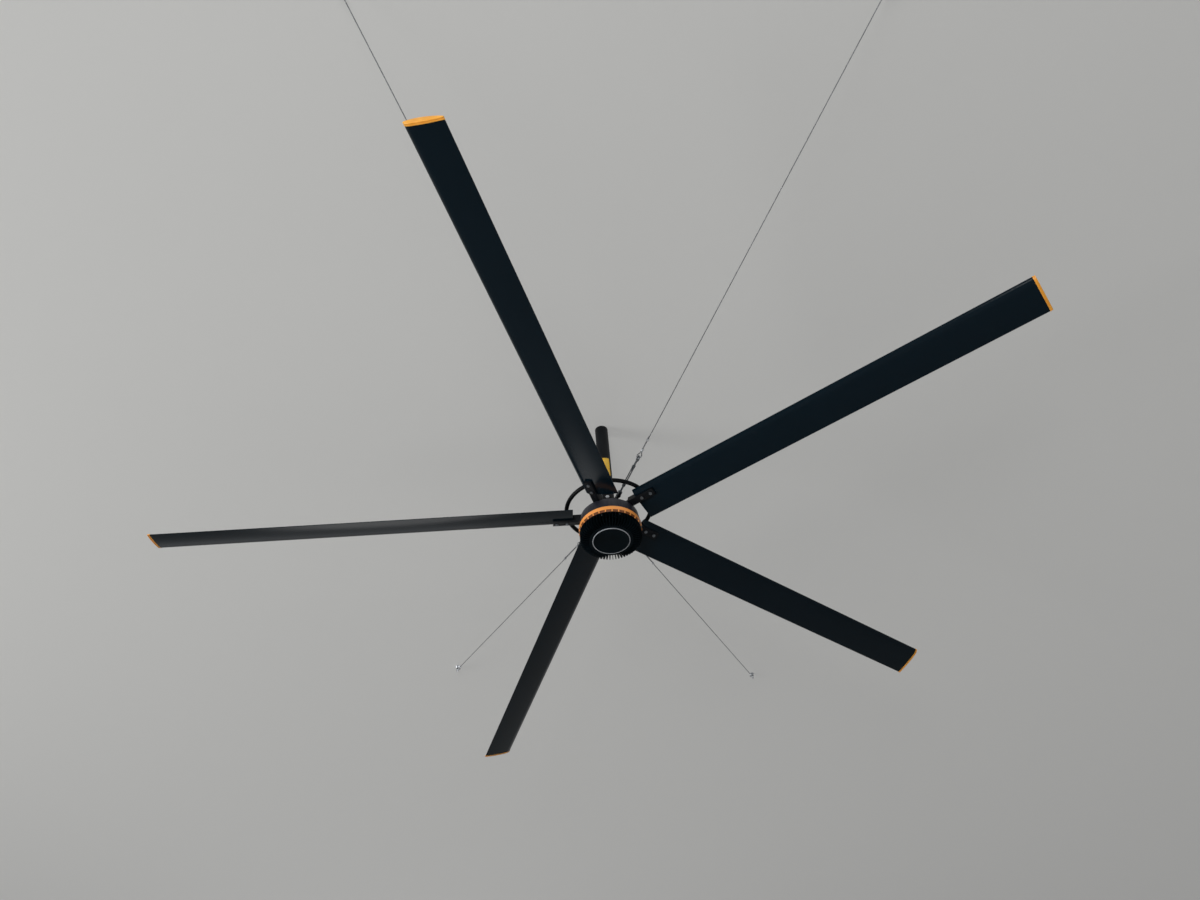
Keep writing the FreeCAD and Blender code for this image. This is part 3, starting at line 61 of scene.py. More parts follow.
# %% Camera
PITCH, ROLL = 0.8182, -0.0885
SENSOR, LENS, SIGHT = 36.0, 30.104, 200.0
CAMERA_AT = (-0.018, -4.035, -4.599)
level = Vector((1, 0, 0))
ahead = Vector((0, math.cos(PITCH), math.sin(PITCH)))
above = level.cross(ahead)
lens_right = math.cos(ROLL) * level + math.sin(ROLL) * above
lens_up = math.cos(ROLL) * above - math.sin(ROLL) * level
camera = bpy.data.objects.new("camera", bpy.data.cameras.new("camera"))
scene.collection.objects.link(camera)
camera.data.sensor_width, camera.data.lens = SENSOR, LENS
camera.data.clip_end = SIGHT
camera.matrix_world = Matrix((lens_right, lens_up, -ahead)).transposed().to_4x4()
camera.location = CAMERA_AT
scene.camera = camera
print("camera at", tuple(round(x, 3) for x in camera.location))

# %% [markdown]
# ## Writing shader maths
# A material is a graph of nodes, and sums made of Math nodes are hard to read. `Socket` wraps an output so that
# `1 - mask` or `noise * 0.2 + 0.3` adds those nodes by itself. `Finish` is one material: its `node` method makes
# any other node from its type, its settings and what goes into its sockets.

# %% Sockets
class Socket:
    """An output socket that sums can be written with."""

    def __init__(self, finish, socket):
        self.finish, self.socket = finish, socket

    def maths(self, operation, first, second):
        return self.finish.node("ShaderNodeMath", {"operation": operation}, {0: first, 1: second})

    def __add__(self, other):
        return self.maths("ADD", self, other)

    def __radd__(self, other):
        return self.maths("ADD", other, self)

    def __sub__(self, other):
        return self.maths("SUBTRACT", self, other)

    def __rsub__(self, other):
        return self.maths("SUBTRACT", other, self)

    def __mul__(self, other):
        return self.maths("MULTIPLY", self, other)

    def __rmul__(self, other):
        return self.maths("MULTIPLY", other, self)


print("sums for sockets: add, subtract, multiply")

# %% Finishes
class Finish:
    """A material, and the nodes that feed its shader."""

    def __init__(self, name, **fixed):
        self.material = bpy.data.materials.new(name)
        self.material.use_nodes = True
        self.tree = self.material.node_tree
        self.shader = self.tree.nodes["Principled BSDF"]
        self.feed(**fixed)

    def join(self, socket, value):
        if isinstance(value, Socket):
            self.tree.links.new(value.socket, socket)
        else:
            socket.default_value = value

    def feed(self, **inputs):
        """Set or link the shader's inputs; base_color stands for Base Color."""
        for name, value in inputs.items():
            self.join(self.shader.inputs[name.replace("_", " ").title().replace("Ior", "IOR")], value)
        return self

    def node(self, kind, settings=None, inputs=None, output=0):
        made = self.tree.nodes.new(kind)
        for name, value in (settings or {}).items():
            setattr(made, name, value)
        for name, value in (inputs or {}).items():
            self.join(made.inputs[name], value)
        return Socket(self, made.outputs[output])

    def place(self, source="Object", stretch=(1, 1, 1)):
        """Where a point lies on the piece, stretched along its axes."""
        spot = self.node("ShaderNodeTexCoord", output=source)
        return self.node("ShaderNodeVectorMath", {"operation": "MULTIPLY"}, {0: spot, 1: stretch})

    def noise(self, scale, detail=3.0, spot=None):
        where = spot or self.place()
        return self.node("ShaderNodeTexNoise", {}, {"Vector": where, "Scale": scale, "Detail": detail})

    def mix(self, share, first, second):
        """A colour between two colours."""
        return self.node("ShaderNodeMix", {"data_type": "RGBA"}, {0: share, 6: first, 7: second}, output=2)

    def between(self, value, low, high):
        """0 below low, 1 above high, and a smooth step between."""
        return self.node("ShaderNodeMapRange", {"interpolation_type": "SMOOTHSTEP"},
                         {"Value": value, "From Min": low, "From Max": high})

    def axis(self, letter):
        """How far along an axis a point lies on the piece."""
        return self.node("ShaderNodeSeparateXYZ", {}, {0: self.place()}, output=letter)

    def bump(self, height, depth):
        """Relief as deep as depth, at half strength."""
        return self.node("ShaderNodeBump", {}, {"Height": height, "Distance": depth, "Strength": 0.5})


def shade(red, green, blue):
    """A colour as a picture shows it, 0 to 255, turned into the linear colour that a shader wants."""
    parts = [c / 255 for c in (red, green, blue)]
    return tuple(c / 12.92 if c < 0.04045 else ((c + 0.055) / 1.055) ** 2.4 for c in parts) + (1.0,)


print("orange is", [round(c, 3) for c in shade(255, 170, 95)])

# %% [markdown]
# ## Room
# The fan hangs under a pale flat ceiling, so one backdrop is a ceiling and the other a floor far below. The
# ceiling shows only from below: a Mix Shader on Backfacing makes it clear from above, so that the bracket can
# still be looked at. Paint alone would need strong lamps to look pale. A glow on Light Path's camera, glossy and
# transmission rays makes both sheets pale to the eye and in reflections, and adds no light to the fan.

# %% Ceiling and floor
CEILING, FLOOR = -0.12, -6.0
CEILING_REACH, FLOOR_REACH = 40.0, 120.0


def to_the_eye(finish):
    """1 on what is seen, straight or in gloss or glass, and 0 on light that falls on things."""
    kinds = ("Is Camera Ray", "Is Glossy Ray", "Is Transmission Ray")
    straight, gloss, glass = [finish.node("ShaderNodeLightPath", output=kind) for kind in kinds]
    return straight + gloss + glass


def backdrop(name, height, reach, tint, glow, faces_down):
    """A large flat sheet that shows from one side, with a glow that only the eye sees."""
    sheet = bmesh.new()
    bmesh.ops.create_grid(sheet, x_segments=1, y_segments=1, size=reach,
                          matrix=Matrix.Translation((0, 0, height)))
    if faces_down:
        bmesh.ops.reverse_faces(sheet, faces=sheet.faces)
    mesh = bpy.data.meshes.new(name)
    sheet.to_mesh(mesh)
    sheet.free()
    plain = Finish(name, roughness=0.9, base_color=tint, specular_ior_level=0.1, emission_strength=1.0)
    plain.feed(emission_color=plain.mix(to_the_eye(plain), shade(0, 0, 0), glow))
    behind = plain.node("ShaderNodeNewGeometry", output="Backfacing")
    clear = plain.node("ShaderNodeBsdfTransparent")
    shown = Socket(plain, plain.shader.outputs[0])
    both = plain.node("ShaderNodeMixShader", {}, {0: behind, 1: shown, 2: clear})
    plain.join(plain.tree.nodes["Material Output"].inputs["Surface"], both)
    mesh.materials.append(plain.material)
    obj = bpy.data.objects.new(name, mesh)
    scene.collection.objects.link(obj)
    obj.visible_shadow = False
    return obj


backdrop("ceiling", CEILING, CEILING_REACH, shade(150, 150, 148), shade(142, 142, 141), True)
floor = backdrop("floor", FLOOR, FLOOR_REACH, shade(190, 189, 187), shade(150, 150, 149), False)
print("ceiling at", CEILING, "and floor at", FLOOR)

# %% [markdown]
# ## Light
# Soft round lamps stand for the windows of a bright room, and a low one at the far end draws the sheen along the
# blades' undersides. Lamps this low would leave hot patches on the floor. Light linking takes the floor out of
# what they reach, which is simpler than moving them far away and making them stronger.

# %% Lamps and the light all round
unlit = bpy.data.collections.new("not_lit_by_windows")
unlit.objects.link(floor)
unlit.collection_objects[0].light_linking.link_state = "EXCLUDE"


def soft_lamp(name, at, towards, wide, watts, spares=None):
    """A round area lamp that lights all but the things it spares."""
    lamp = bpy.data.lights.new(name, "AREA")
    lamp.shape, lamp.size, lamp.energy = "DISK", wide, watts
    obj = bpy.data.objects.new(name, lamp)
    scene.collection.objects.link(obj)
    obj.location = at
    obj.rotation_mode = "QUATERNION"
    obj.rotation_quaternion = (Vector(towards) - Vector(at)).to_track_quat("-Z", "Y")
    obj.visible_camera = False
    obj.light_linking.receiver_collection = spares


soft_lamp("room_below", (-0.5, -1.5, -5.9), (0, 0, -0.9), 9.0, 30)
soft_lamp("window_left", (-10.0, -2.5, -4.2), (0, 0, -1.4), 4.0, 500, unlit)
soft_lamp("window_front", (-1.8, -11.0, -4.2), (0, 0, -0.9), 4.0, 600, unlit)
soft_lamp("glow_far", (-3.3, 9.0, -4.5), (-1.2, 0.2, -1.0), 3.4, 60, unlit)
soft_lamp("room_above", (1.0, -2.0, 5.0), (0, 0, -0.5), 6.0, 260)


class Sky(Finish):
    """The light all round the room, written as a finish is."""

    def __init__(self, world):
        world.use_nodes = True
        self.tree = world.node_tree
        self.shader = self.tree.nodes["Background"]


scene.world = bpy.data.worlds.new("room")
sky = Sky(scene.world)
sky.feed(strength=1.0, color=sky.mix(to_the_eye(sky), shade(155, 158, 163), shade(226, 228, 231)))

# %% [markdown]
# ## Coats and mouldings
# Most of the fan is dark coated metal, so its character comes from gloss more than from colour. Powder coat has a
# fine grain, and its colour drifts a little over the piece. Two noises give both: a fine one for gloss and relief,
# a slow one for colour. A noise on Object coordinates stays put on the piece when it turns.

# %% Coated and moulded finishes
GLOSS_SPREAD, DRIFT_SCALE, DRIFT_DETAIL = 0.14, 9.0, 4.0


def coated(name, colour, deeper, roughness, grain=900.0, relief=0.00008, shine=0.5):
    """Powder coat or moulded plastic: slow drift of colour, fine grain in gloss and relief."""
    finish = Finish(name, specular_ior_level=shine)
    fine = finish.noise(grain, 2.0)
    drift = finish.between(finish.noise(DRIFT_SCALE, DRIFT_DETAIL), 0.35, 0.65)
    return finish.feed(base_color=finish.mix(drift, colour, deeper), normal=finish.bump(fine, relief),
                       roughness=fine * GLOSS_SPREAD + (roughness - GLOSS_SPREAD / 2))


black_steel = coated("black_steel", shade(15, 18, 22), shade(11, 14, 17), 0.44, shine=0.1)
ring_black = coated("ring_black", shade(9, 11, 14), shade(6, 8, 10), 0.40, shine=0.1)
charcoal = coated("charcoal_housing", shade(38, 39, 48), shade(32, 33, 41), 0.46, 1400.0, shine=0.3)
# The housing's lower wall, fins and bottom cover take this charcoal made darker still: painted shade for the
# motor's underside.
charcoal_painted_shade = coated("charcoal_fins_painted_shade", shade(6, 15, 20), shade(4, 11, 15), 0.46, 1400.0, shine=0.03)
trim_grey = coated("trim_grey", shade(172, 176, 182), shade(154, 158, 164), 0.32)
yellow_marker = coated("yellow_marker", shade(247, 196, 40), shade(238, 184, 30), 0.38, 500.0)
seal_rubber = coated("seal_rubber", shade(22, 22, 22), shade(16, 16, 16), 0.7, 700.0, 0.0002)
print("coated finishes", black_steel.material.name, charcoal.material.name)

# %% [markdown]
# ## Blades, caps and band
# A blade is drawn through a die, which leaves faint lines along its length. They follow the blade, so their noise
# reads a UV map, stretched until it is all lines. The caps and the band are moulded in colour. The band's lower
# rim lies in the shade of its teeth, and a smooth step on the height paints that shade on in brown.

# %% Blade finish
DRAWN_LINES = (0.8, 420.0, 1.0)
blade_black = Finish("black_blade", specular_ior_level=0.10)
drawn = blade_black.noise(1.0, 3.0, blade_black.place("UV", DRAWN_LINES))
haze = blade_black.noise(3.0, 4.0)
blade_black.feed(base_color=blade_black.mix(haze, shade(2, 18, 27), shade(6, 22, 31)),
                 roughness=drawn * 0.08 + haze * 0.06 + 0.12, normal=blade_black.bump(drawn, 0.00006))
print("blade finish", blade_black.material.name)

# %% Amber caps and the orange band
GRAIN_RELIEF = 0.00005
amber_cap = Finish("amber_cap", specular_ior_level=0.5)
grain = amber_cap.noise(600.0, 2.0)
flow = amber_cap.between(amber_cap.noise(14.0, 3.0), 0.35, 0.7)
amber_cap.feed(base_color=amber_cap.mix(flow, shade(250, 178, 66), shade(240, 160, 48)),
               roughness=grain * 0.1 + 0.32, normal=amber_cap.bump(grain, GRAIN_RELIEF))

HUB_TOP = -0.837
BAND_TOP, BAND_EDGE, BAND_FOOT = 0.073, 0.099, 0.113


def orange(name, painted_shade_below):
    """Moulded orange, with a painted shade in brown below a height."""
    finish = Finish(name, specular_ior_level=0.5)
    grain = finish.noise(800.0, 2.0)
    # Below that height the colour turns brown: painted shade, not the moulding's own colour.
    low = 1 - finish.between(finish.axis("Z"), painted_shade_below - 0.001, painted_shade_below + 0.001)
    flow = finish.mix(finish.noise(20.0), shade(255, 172, 92), shade(250, 160, 78))
    return finish.feed(base_color=finish.mix(low, flow, shade(112, 60, 24)), roughness=grain * 0.1 + 0.33,
                       normal=finish.bump(grain, GRAIN_RELIEF))


# The band's brown rim is painted shade. The teeth's height lies below the whole fan, so they stay orange.
orange_band = orange("orange_band", HUB_TOP - BAND_EDGE)
orange_teeth = orange("orange_teeth", HUB_TOP - 0.2)
print("bright finishes", amber_cap.material.name, orange_band.material.name)

# %% [markdown]
# ## Bare metal
# Zinc has a soft mottling, turned steel has lathe lines, and a stack of sheets or a winding shows line after line.
# Metal takes its colour from what it mirrors, so the mottling goes into gloss as well as colour. A Wave texture
# along one axis gives the lines, which a noise could only hint at.

# %% Mottled metals
def bare_metal(name, colour, deeper, roughness, scale, spread=0.2):
    """Metal with a soft mottling in colour and gloss."""
    finish = Finish(name, metallic=1.0)
    mottle = finish.between(finish.noise(scale, 5.0), 0.3, 0.7)
    fine = finish.noise(scale * 9, 2.0)
    return finish.feed(base_color=finish.mix(mottle, colour, deeper), normal=finish.bump(fine, GRAIN_RELIEF),
                       roughness=mottle * spread + (roughness - spread / 2))


zinc = bare_metal("zinc", shade(112, 117, 121), shade(84, 88, 93), 0.48, 120.0)
fresh_zinc = bare_metal("fresh_zinc", shade(206, 209, 213), shade(172, 175, 180), 0.30, 120.0)
wire_rope = bare_metal("wire_rope", shade(150, 152, 154), shade(112, 114, 117), 0.42, 260.0)
bearing_steel = bare_metal("bearing_steel", shade(214, 216, 219), shade(196, 199, 203), 0.16, 60.0, 0.08)
cast_carrier = bare_metal("cast_carrier", shade(168, 170, 172), shade(140, 142, 145), 0.58, 300.0)
magnet = bare_metal("magnet", shade(96, 99, 104), shade(78, 81, 86), 0.36, 90.0)
print("mottled metals", zinc.material.name, wire_rope.material.name)

# %% Lined metals
def lined(name, colour, deeper, roughness, scale):
    """Metal with fine level lines, as lathe lines, stacked sheets or turns of wire."""
    finish = Finish(name, metallic=1.0)
    lines = finish.node("ShaderNodeTexWave", {"bands_direction": "Z"},
                        {"Vector": finish.place(), "Scale": scale, "Distortion": 0.6})
    return finish.feed(base_color=finish.mix(lines, colour, deeper), roughness=lines * 0.16 + roughness,
                       normal=finish.bump(lines, 0.0002))


machined = lined("machined_steel", shade(176, 179, 183), shade(150, 153, 158), 0.26, 500.0)
laminations = lined("laminations", shade(120, 122, 126), shade(84, 86, 90), 0.38, 320.0)
copper = lined("copper_winding", shade(206, 124, 74), shade(150, 78, 42), 0.34, 180.0)
print("lined metals", machined.material.name, copper.material.name)

# %% [markdown]
# ## Finishing the carried-over solids
# Every solid of the frame names the finish it is made in. The loop below gives each of them that finish, and the
# pieces modelled further down take the place of the ones that deserve rounder edges.

# %% One finish for each slot
FINISHES = {
    "black_blade": blade_black, "amber_cap": amber_cap, "orange_band": orange_band,
    "charcoal_housing": charcoal, "trim_grey": trim_grey, "black_steel": black_steel,
    "ring_black": ring_black, "yellow_marker": yellow_marker, "zinc": zinc, "wire_rope": wire_rope,
    "machined_steel": machined, "bearing_steel": bearing_steel, "cast_carrier": cast_carrier,
    "laminations": laminations, "copper_winding": copper, "magnet": magnet, "seal_rubber": seal_rubber,
}
SLOT = {item["node"]: item["material_slot"] for item in frame["record"]["subparts"]}
BODY = {node: body for body, nodes in frame["record"]["behaviour"]["bodies"].items() for node in nodes}
for node, obj in frame["nodes"].items():
    obj.data.materials.clear()
    obj.data.materials.append(FINISHES[SLOT[node]].material)

# %% [markdown]
# ## From a mesh to a piece
# A piece is a mesh that stands for one or more solids and rides on their body. `piece` closes seams, turns the
# faces outwards, smooths the shading, and rounds the edges with a Bevel modifier, because no real edge is
# perfectly sharp and it is the small highlight along an edge that makes metal look like metal.

# %% Making pieces
SEAM, SOLID_SEAM, SHARP, FLAT, ROUND_STEPS = 0.000002, 0.00001, math.radians(32), math.radians(1), 2


def piece(name, bm, nodes, finish=None, edge=0.0):
    """Turn a bmesh into an object that stands for these nodes and rides on their body."""
    bmesh.ops.remove_doubles(bm, verts=bm.verts, dist=SEAM)
    bmesh.ops.recalc_face_normals(bm, faces=bm.faces)
    mesh = bpy.data.meshes.new(name)
    bm.to_mesh(mesh)
    bm.free()
    mesh.polygons.foreach_set("use_smooth", [True] * len(mesh.polygons))
    slot = SLOT[nodes[0]]
    mesh.materials.append((finish or FINISHES[slot]).material)
    obj = bpy.data.objects.new(name, mesh)
    scene.collection.objects.link(obj)
    if edge:
        rounding = obj.modifiers.new("rounding", "BEVEL")
        rounding.width, rounding.segments = edge, ROUND_STEPS
        rounding.limit_method, rounding.angle_limit = "ANGLE", SHARP
        rounding.harden_normals = True
    else:
        mesh.set_sharp_from_angle(angle=SHARP)
    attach(obj, BODY[nodes[0]])
    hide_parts(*nodes)
    return obj


def softened(node, edge, finish=None):
    """A solid of the frame with its triangles joined and its edges rounded."""
    bm = bmesh.new()
    bm.from_mesh(frame["nodes"][node].data)
    bmesh.ops.remove_doubles(bm, verts=bm.verts, dist=SOLID_SEAM)
    bmesh.ops.dissolve_limit(bm, angle_limit=FLAT, verts=bm.verts, edges=bm.edges)
    return piece(node + "_finished", bm, [node], finish, edge)


print("edges over", round(math.degrees(SHARP)), "degrees get rounded or stay sharp")

# %% [markdown]
# ## A few ways to shape
# Nearly all of the fan is turned, drawn out or set in a circle. Spin does the first and the last, and Extrude the
# second, so a handful of helpers on top of those two operators is enough. Each one starts from a loop of edges or
# one flat face, which is how a maker would sketch it too.

# %% Loops and spins
def only(kind, geometry):
    """The vertices, the edges or the faces among what an operator gives back."""
    return [part for part in geometry if isinstance(part, kind)]


def once(parts):
    """Each part once, in the same order at every run, which a set would not keep."""
    return list(dict.fromkeys(parts))


def loop_of(bm, points):
    """A closed loop of edges through points."""
    corners = [bm.verts.new(p) for p in points]
    return [bm.edges.new(pair) for pair in zip(corners, corners[1:] + corners[:1])]


def ends_of(edges):
    """The vertices that edges end in."""
    return once(v for e in edges for v in e.verts)


def circle(bm, sides, radius, matrix):
    """The edges of a circle."""
    corners = bmesh.ops.create_circle(bm, segments=sides, radius=radius, matrix=matrix)["verts"]
    return once(e for v in corners for e in v.link_edges)


def spun(bm, edges, axis, steps, cent=(0, 0, 0), angle=math.tau, **more):
    """Spin edges round an axis: a whole turn unless angle says less."""
    bmesh.ops.spin(bm, geom=edges + ends_of(edges), cent=cent, axis=axis, angle=angle, steps=steps, **more)


UPRIGHT = (0, 0, 1)


def turned(bm, outline, steps=120):
    """Turn a closed outline of radius and depth below the motor's top face round the fan's axis."""
    edges = loop_of(bm, [(radius, 0, HUB_TOP - depth) for radius, depth in outline])
    spun(bm, edges, UPRIGHT, steps, use_merge=True)


print("loops and spins ready")

# %% Slabs, circles of copies and bars
def slab(bm, points, along):
    """A flat face through points, drawn out along a vector; gives back all its parts."""
    face = bm.faces.new([bm.verts.new(p) for p in points])
    moved = only(BMVert, bmesh.ops.extrude_face_region(bm, geom=[face], use_keep_orig=True)["geom"])
    bmesh.ops.translate(bm, verts=moved, vec=along)
    verts = [*face.verts, *moved]
    return once(f for v in verts for f in v.link_faces) + once(e for v in verts for e in v.link_edges) + verts


def around(bm, parts, count):
    """Copies of parts, evenly round the fan's axis."""
    bmesh.ops.spin(bm, geom=parts, cent=(0, 0, 0), axis=UPRIGHT, angle=math.tau * (count - 1) / count,
                   steps=count - 1, use_duplicate=True)


def pillar(bm, start, end, radius, sides=24):
    """A round bar between two points."""
    way = Vector(end) - Vector(start)
    facing = way.to_track_quat("Z", "Y").to_matrix().to_4x4()
    bmesh.ops.create_cone(bm, cap_ends=True, segments=sides, radius1=radius, radius2=radius, depth=way.length,
                          matrix=Matrix.Translation((Vector(start) + Vector(end)) / 2) @ facing)


def repeat(bm, one, count=1, step=(0, 0, 0)):
    """Add a small bmesh to another over and over, each time a step further on."""
    kept = bpy.data.meshes.new("one")
    one.to_mesh(kept)
    one.free()
    for _ in range(count):
        bm.from_mesh(kept)
        kept.transform(Matrix.Translation(step))
    bpy.data.meshes.remove(kept)
    bmesh.ops.remove_doubles(bm, verts=bm.verts, dist=SEAM)


def close_ends(bm):
    """Fill every open end with a face."""
    bmesh.ops.holes_fill(bm, edges=[e for e in bm.edges if e.is_boundary], sides=0)


print("slabs, copies and bars ready")

# %% [markdown]
# ## Guy wires
# Four wires run from lugs at the rod's foot to eyes in the ceiling. Each one is pulled taut by a turnbuckle, so
# its line is straight from ferrule to ferrule. All that sits on a wire is made in the line's own axes, with X
# along it, and then put in place by one matrix. That is easier to read than slanting every coordinate.

# %% Where the wires run
LUG_RADIUS, LUG_HEIGHT, EYE_HEIGHT = 0.120, -0.776, -0.148
# Each wire: its direction in degrees, how far out its ceiling eye is, and its clip's place past the ferrule.
GUYS = {"front_left": (250.5, 2.850, 0.060), "front_right": (299.7, 2.860, 0.060),
        "rear_right": (69.4, 2.880, 0.270), "rear_left": (118.6, 2.570, 0.170)}
WIRE, FERRULE_END, EYE_AT = 0.005, 0.06276, 0.250
RUN_START = EYE_AT + FERRULE_END


def guy_frame(azimuth, reach):
    """The line's own axes, X from the lug's pin up to the ceiling eye, and its length."""
    rise, run = EYE_HEIGHT - LUG_HEIGHT, reach - LUG_RADIUS
    turn = Matrix.Rotation(math.radians(azimuth), 4, "Z") @ Matrix.Translation((LUG_RADIUS, 0, LUG_HEIGHT))
    return turn @ Matrix.Rotation(-math.atan2(rise, run), 4, "Y"), math.hypot(rise, run)


LINES = {guy: guy_frame(azimuth, reach) for guy, (azimuth, reach, _) in GUYS.items()}
for guy, (_, length) in LINES.items():
    print(guy, "pin to eye", round(length, 4))

# %% [markdown]
# ## Strands
# A wire rope is six strands laid round each other. A screw modifier on a curve could wind them, but Spin with a
# forward step makes exactly that too: a small circle goes round the wire's own axis while it moves along it. One
# turn is made, and then copied on along the wire, which keeps two and a half metres of rope quick.

# %% Strands
STRANDS, STRAND_SIDES, LAY, STEPS = 6, 6, 0.042, 9


def rope(bm, start, end):
    """Six strands laid round the line from start to end, one lay after the other."""
    lays = max(1, round((end - start).length / LAY))
    step = (end - start) / lays
    facing = step.to_track_quat("Z", "Y").to_matrix().to_4x4()
    one = bmesh.new()
    for strand in range(STRANDS):
        place = Matrix.Translation(start) @ facing @ Matrix.Rotation(math.tau * strand / STRANDS, 4, "Z")
        edges = circle(one, STRAND_SIDES, WIRE / 6, place @ Matrix.Translation((WIRE / 3, 0, 0)))
        spun(one, edges, step.normalized(), STEPS, cent=start, dvec=step / STEPS)
    repeat(bm, one, lays, step)
    close_ends(bm)


print("a lay of", LAY, "m in", STEPS, "steps")

# %% Wires from ferrule to ferrule
STRAIGHT = 6 * WIRE


def route(name, points):
    """The points that a smooth line through these control points passes."""
    curve = bpy.data.curves.new(name, "CURVE")
    curve.dimensions = "3D"
    spline = curve.splines.new("NURBS")
    spline.points.add(len(points) - 1)
    for point, at in zip(spline.points, points):
        point.co = (*at, 1.0)
    spline.order_u, spline.use_endpoint_u = 3, True
    holder = bpy.data.objects.new(name, curve)
    line = bpy.data.meshes.new_from_object(holder)
    path = [v.co.copy() for v in line.vertices]
    bpy.data.objects.remove(holder)
    bpy.data.meshes.remove(line)
    return path


for guy, (place, length) in LINES.items():
    run_end = length - FERRULE_END
    ends = (RUN_START, RUN_START + STRAIGHT, run_end - STRAIGHT, run_end)
    path = route("line_" + guy, [place @ Vector((x, 0, 0)) for x in ends])
    bm = bmesh.new()
    rope(bm, path[0], path[-1])
    piece("guy_wire_" + guy + "_strands", bm, ["guy_wire_" + guy])
    print(guy, "wire", round((path[-1] - path[0]).length, 4))

# %% [markdown]
# ## Wire ends
# At each end the wire turns back round a grooved thimble, and a pressed ferrule holds its two legs. The lower tail
# runs on beside the wire to a small clip. The loops are arcs, so Spin makes both the thimble's channel and the
# wire that lies in it.

# %% Shapes of a loop
LOOP, HALF, THIMBLE_AT = 0.01305, math.radians(60), 0.01773
LEG = (LOOP * math.sin(HALF) - WIRE / 2 - 0.00005) / math.cos(HALF)
BESIDE, PAST_CLIP = 0.0052, 0.022
ROUND = [math.tau * i / 12 for i in range(12)]
WIRE_SECTION = [(LOOP + WIRE / 2 * math.cos(a), 0, WIRE / 2 * math.sin(a)) for a in ROUND]
CHANNEL = [(0.009, -0.0028), (0.0095, -0.0035), (0.0131, -0.0035), (0.0131, -0.0027), (0.0105, -0.0026),
           (0.0105, 0.0026), (0.0131, 0.0027), (0.0131, 0.0035), (0.0095, 0.0035), (0.009, 0.0028)]


def arc(bm, outline, steps):
    """Sweep a closed outline round the loop, from one leg to the other, in the loop's own axes."""
    edges = loop_of(bm, outline)
    bmesh.ops.rotate(bm, verts=ends_of(edges), cent=(0, 0, 0), matrix=Matrix.Rotation(HALF, 3, "Z"))
    spun(bm, edges, UPRIGHT, steps, angle=math.tau - 2 * HALF)


def loop_frames(guy):
    """The two loops of a wire: at its turnbuckle and at its ceiling eye."""
    place, length = LINES[guy]
    return (place @ Matrix.Translation((EYE_AT + THIMBLE_AT, 0, 0)),
            place @ Matrix.Translation((length - THIMBLE_AT, 0, 0)) @ Matrix.Rotation(math.pi, 4, "Z"))


print("legs of", round(LEG, 4), "m")

# %% Loops, tails and thimbles
thimbles = bmesh.new()
for guy, (place, _) in LINES.items():
    wire_ends = bmesh.new()
    for loop_frame in loop_frames(guy):
        bent, channel = bmesh.new(), bmesh.new()
        arc(bent, WIRE_SECTION, 40)
        for side in (-1, 1):
            foot = Vector((LOOP * math.cos(HALF), side * LOOP * math.sin(HALF), 0))
            leg = LEG * Vector((math.sin(HALF), -side * math.cos(HALF), 0))
            pillar(bent, foot, foot + leg, WIRE / 2, 12)
        arc(channel, [(r, 0, z) for r, z in CHANNEL], 36)
        for made, kept in ((bent, wire_ends), (channel, thimbles)):
            close_ends(made)
            made.transform(loop_frame)
            repeat(kept, made)
    tail_end = RUN_START + (GUYS[guy][2] + PAST_CLIP)
    rope(wire_ends, place @ Vector((RUN_START, 0, BESIDE)), place @ Vector((tail_end, 0, BESIDE)))
    piece("guy_wire_" + guy + "_ends", wire_ends, ["guy_wire_" + guy])
piece("guy_thimbles_channel", thimbles, ["guy_thimbles"], fresh_zinc, edge=0.0003)
print("loops", 2 * len(LINES))

# %% [markdown]
# ## Ferrules and eyes
# Pressed ferrules and the eyes in the ceiling are bright new zinc, so they get a lighter finish than the
# turnbuckles.

# %% Ferrules and ceiling eyes
ferrules = softened("guy_ferrules", 0.0007, fresh_zinc)
frame["nodes"]["ceiling_eyes"].data.materials[0] = fresh_zinc.material
print("ferrules", ferrules.name)

# %% [markdown]
# ## Turnbuckles
# A turnbuckle is an open forged body with a threaded hole at each end. Turning it draws in the jaw's screw on one
# side and the eye's screw on the other. Its ends are turned shapes, so they are spun about the wire's line; the
# threads are a small ridge that Spin winds forward by one pitch a turn.

# %% Turnbuckle bodies
ALONG = (1, 0, 0)
BODY_START, BODY_LENGTH = 0.064, 0.140
BODY_END = BODY_START + BODY_LENGTH
BAR_SIDE, BAR_RADIUS, BAR_SUNK = 0.0105, 0.0032, 0.003
BOSS = ((0.0, 0.00505), (0.0, 0.0082), (0.0016, 0.009), (0.0150, 0.009), (0.0180, 0.0076), (0.0180, 0.00505))


def turned_along(bm, outline, steps=32):
    """Turn a closed outline of place and radius round the wire's line."""
    spun(bm, loop_of(bm, [(x, 0, radius) for x, radius in outline]), ALONG, steps, use_merge=True)


for guy, (place, _) in LINES.items():
    bm = bmesh.new()
    turned_along(bm, [(BODY_START + x, r) for x, r in BOSS])
    turned_along(bm, [(BODY_END - x, r) for x, r in BOSS])
    for side in (-BAR_SIDE, BAR_SIDE):
        pillar(bm, (BODY_START + BAR_SUNK, 0, side), (BODY_END - BAR_SUNK, 0, side), BAR_RADIUS)
    bm.transform(place)
    piece("turnbuckle_body_" + guy + "_forged", bm, ["turnbuckle_body_" + guy], edge=0.0004)
print("turnbuckle bodies", len(LINES))

# %% Jaws, eyes and threads
THREAD_PITCH, SCREW, THREAD_STEPS = 0.0015, 0.005, 14
RIDGE = ((0.05, -0.0004), (0.5, 0.0004), (0.95, -0.0004))
JAW_SCREW, EYE_RADIUS, EYE_BAR, EYE_NECK, SCREWED_IN = 0.031, 0.014, 0.0045, 0.017, 0.034


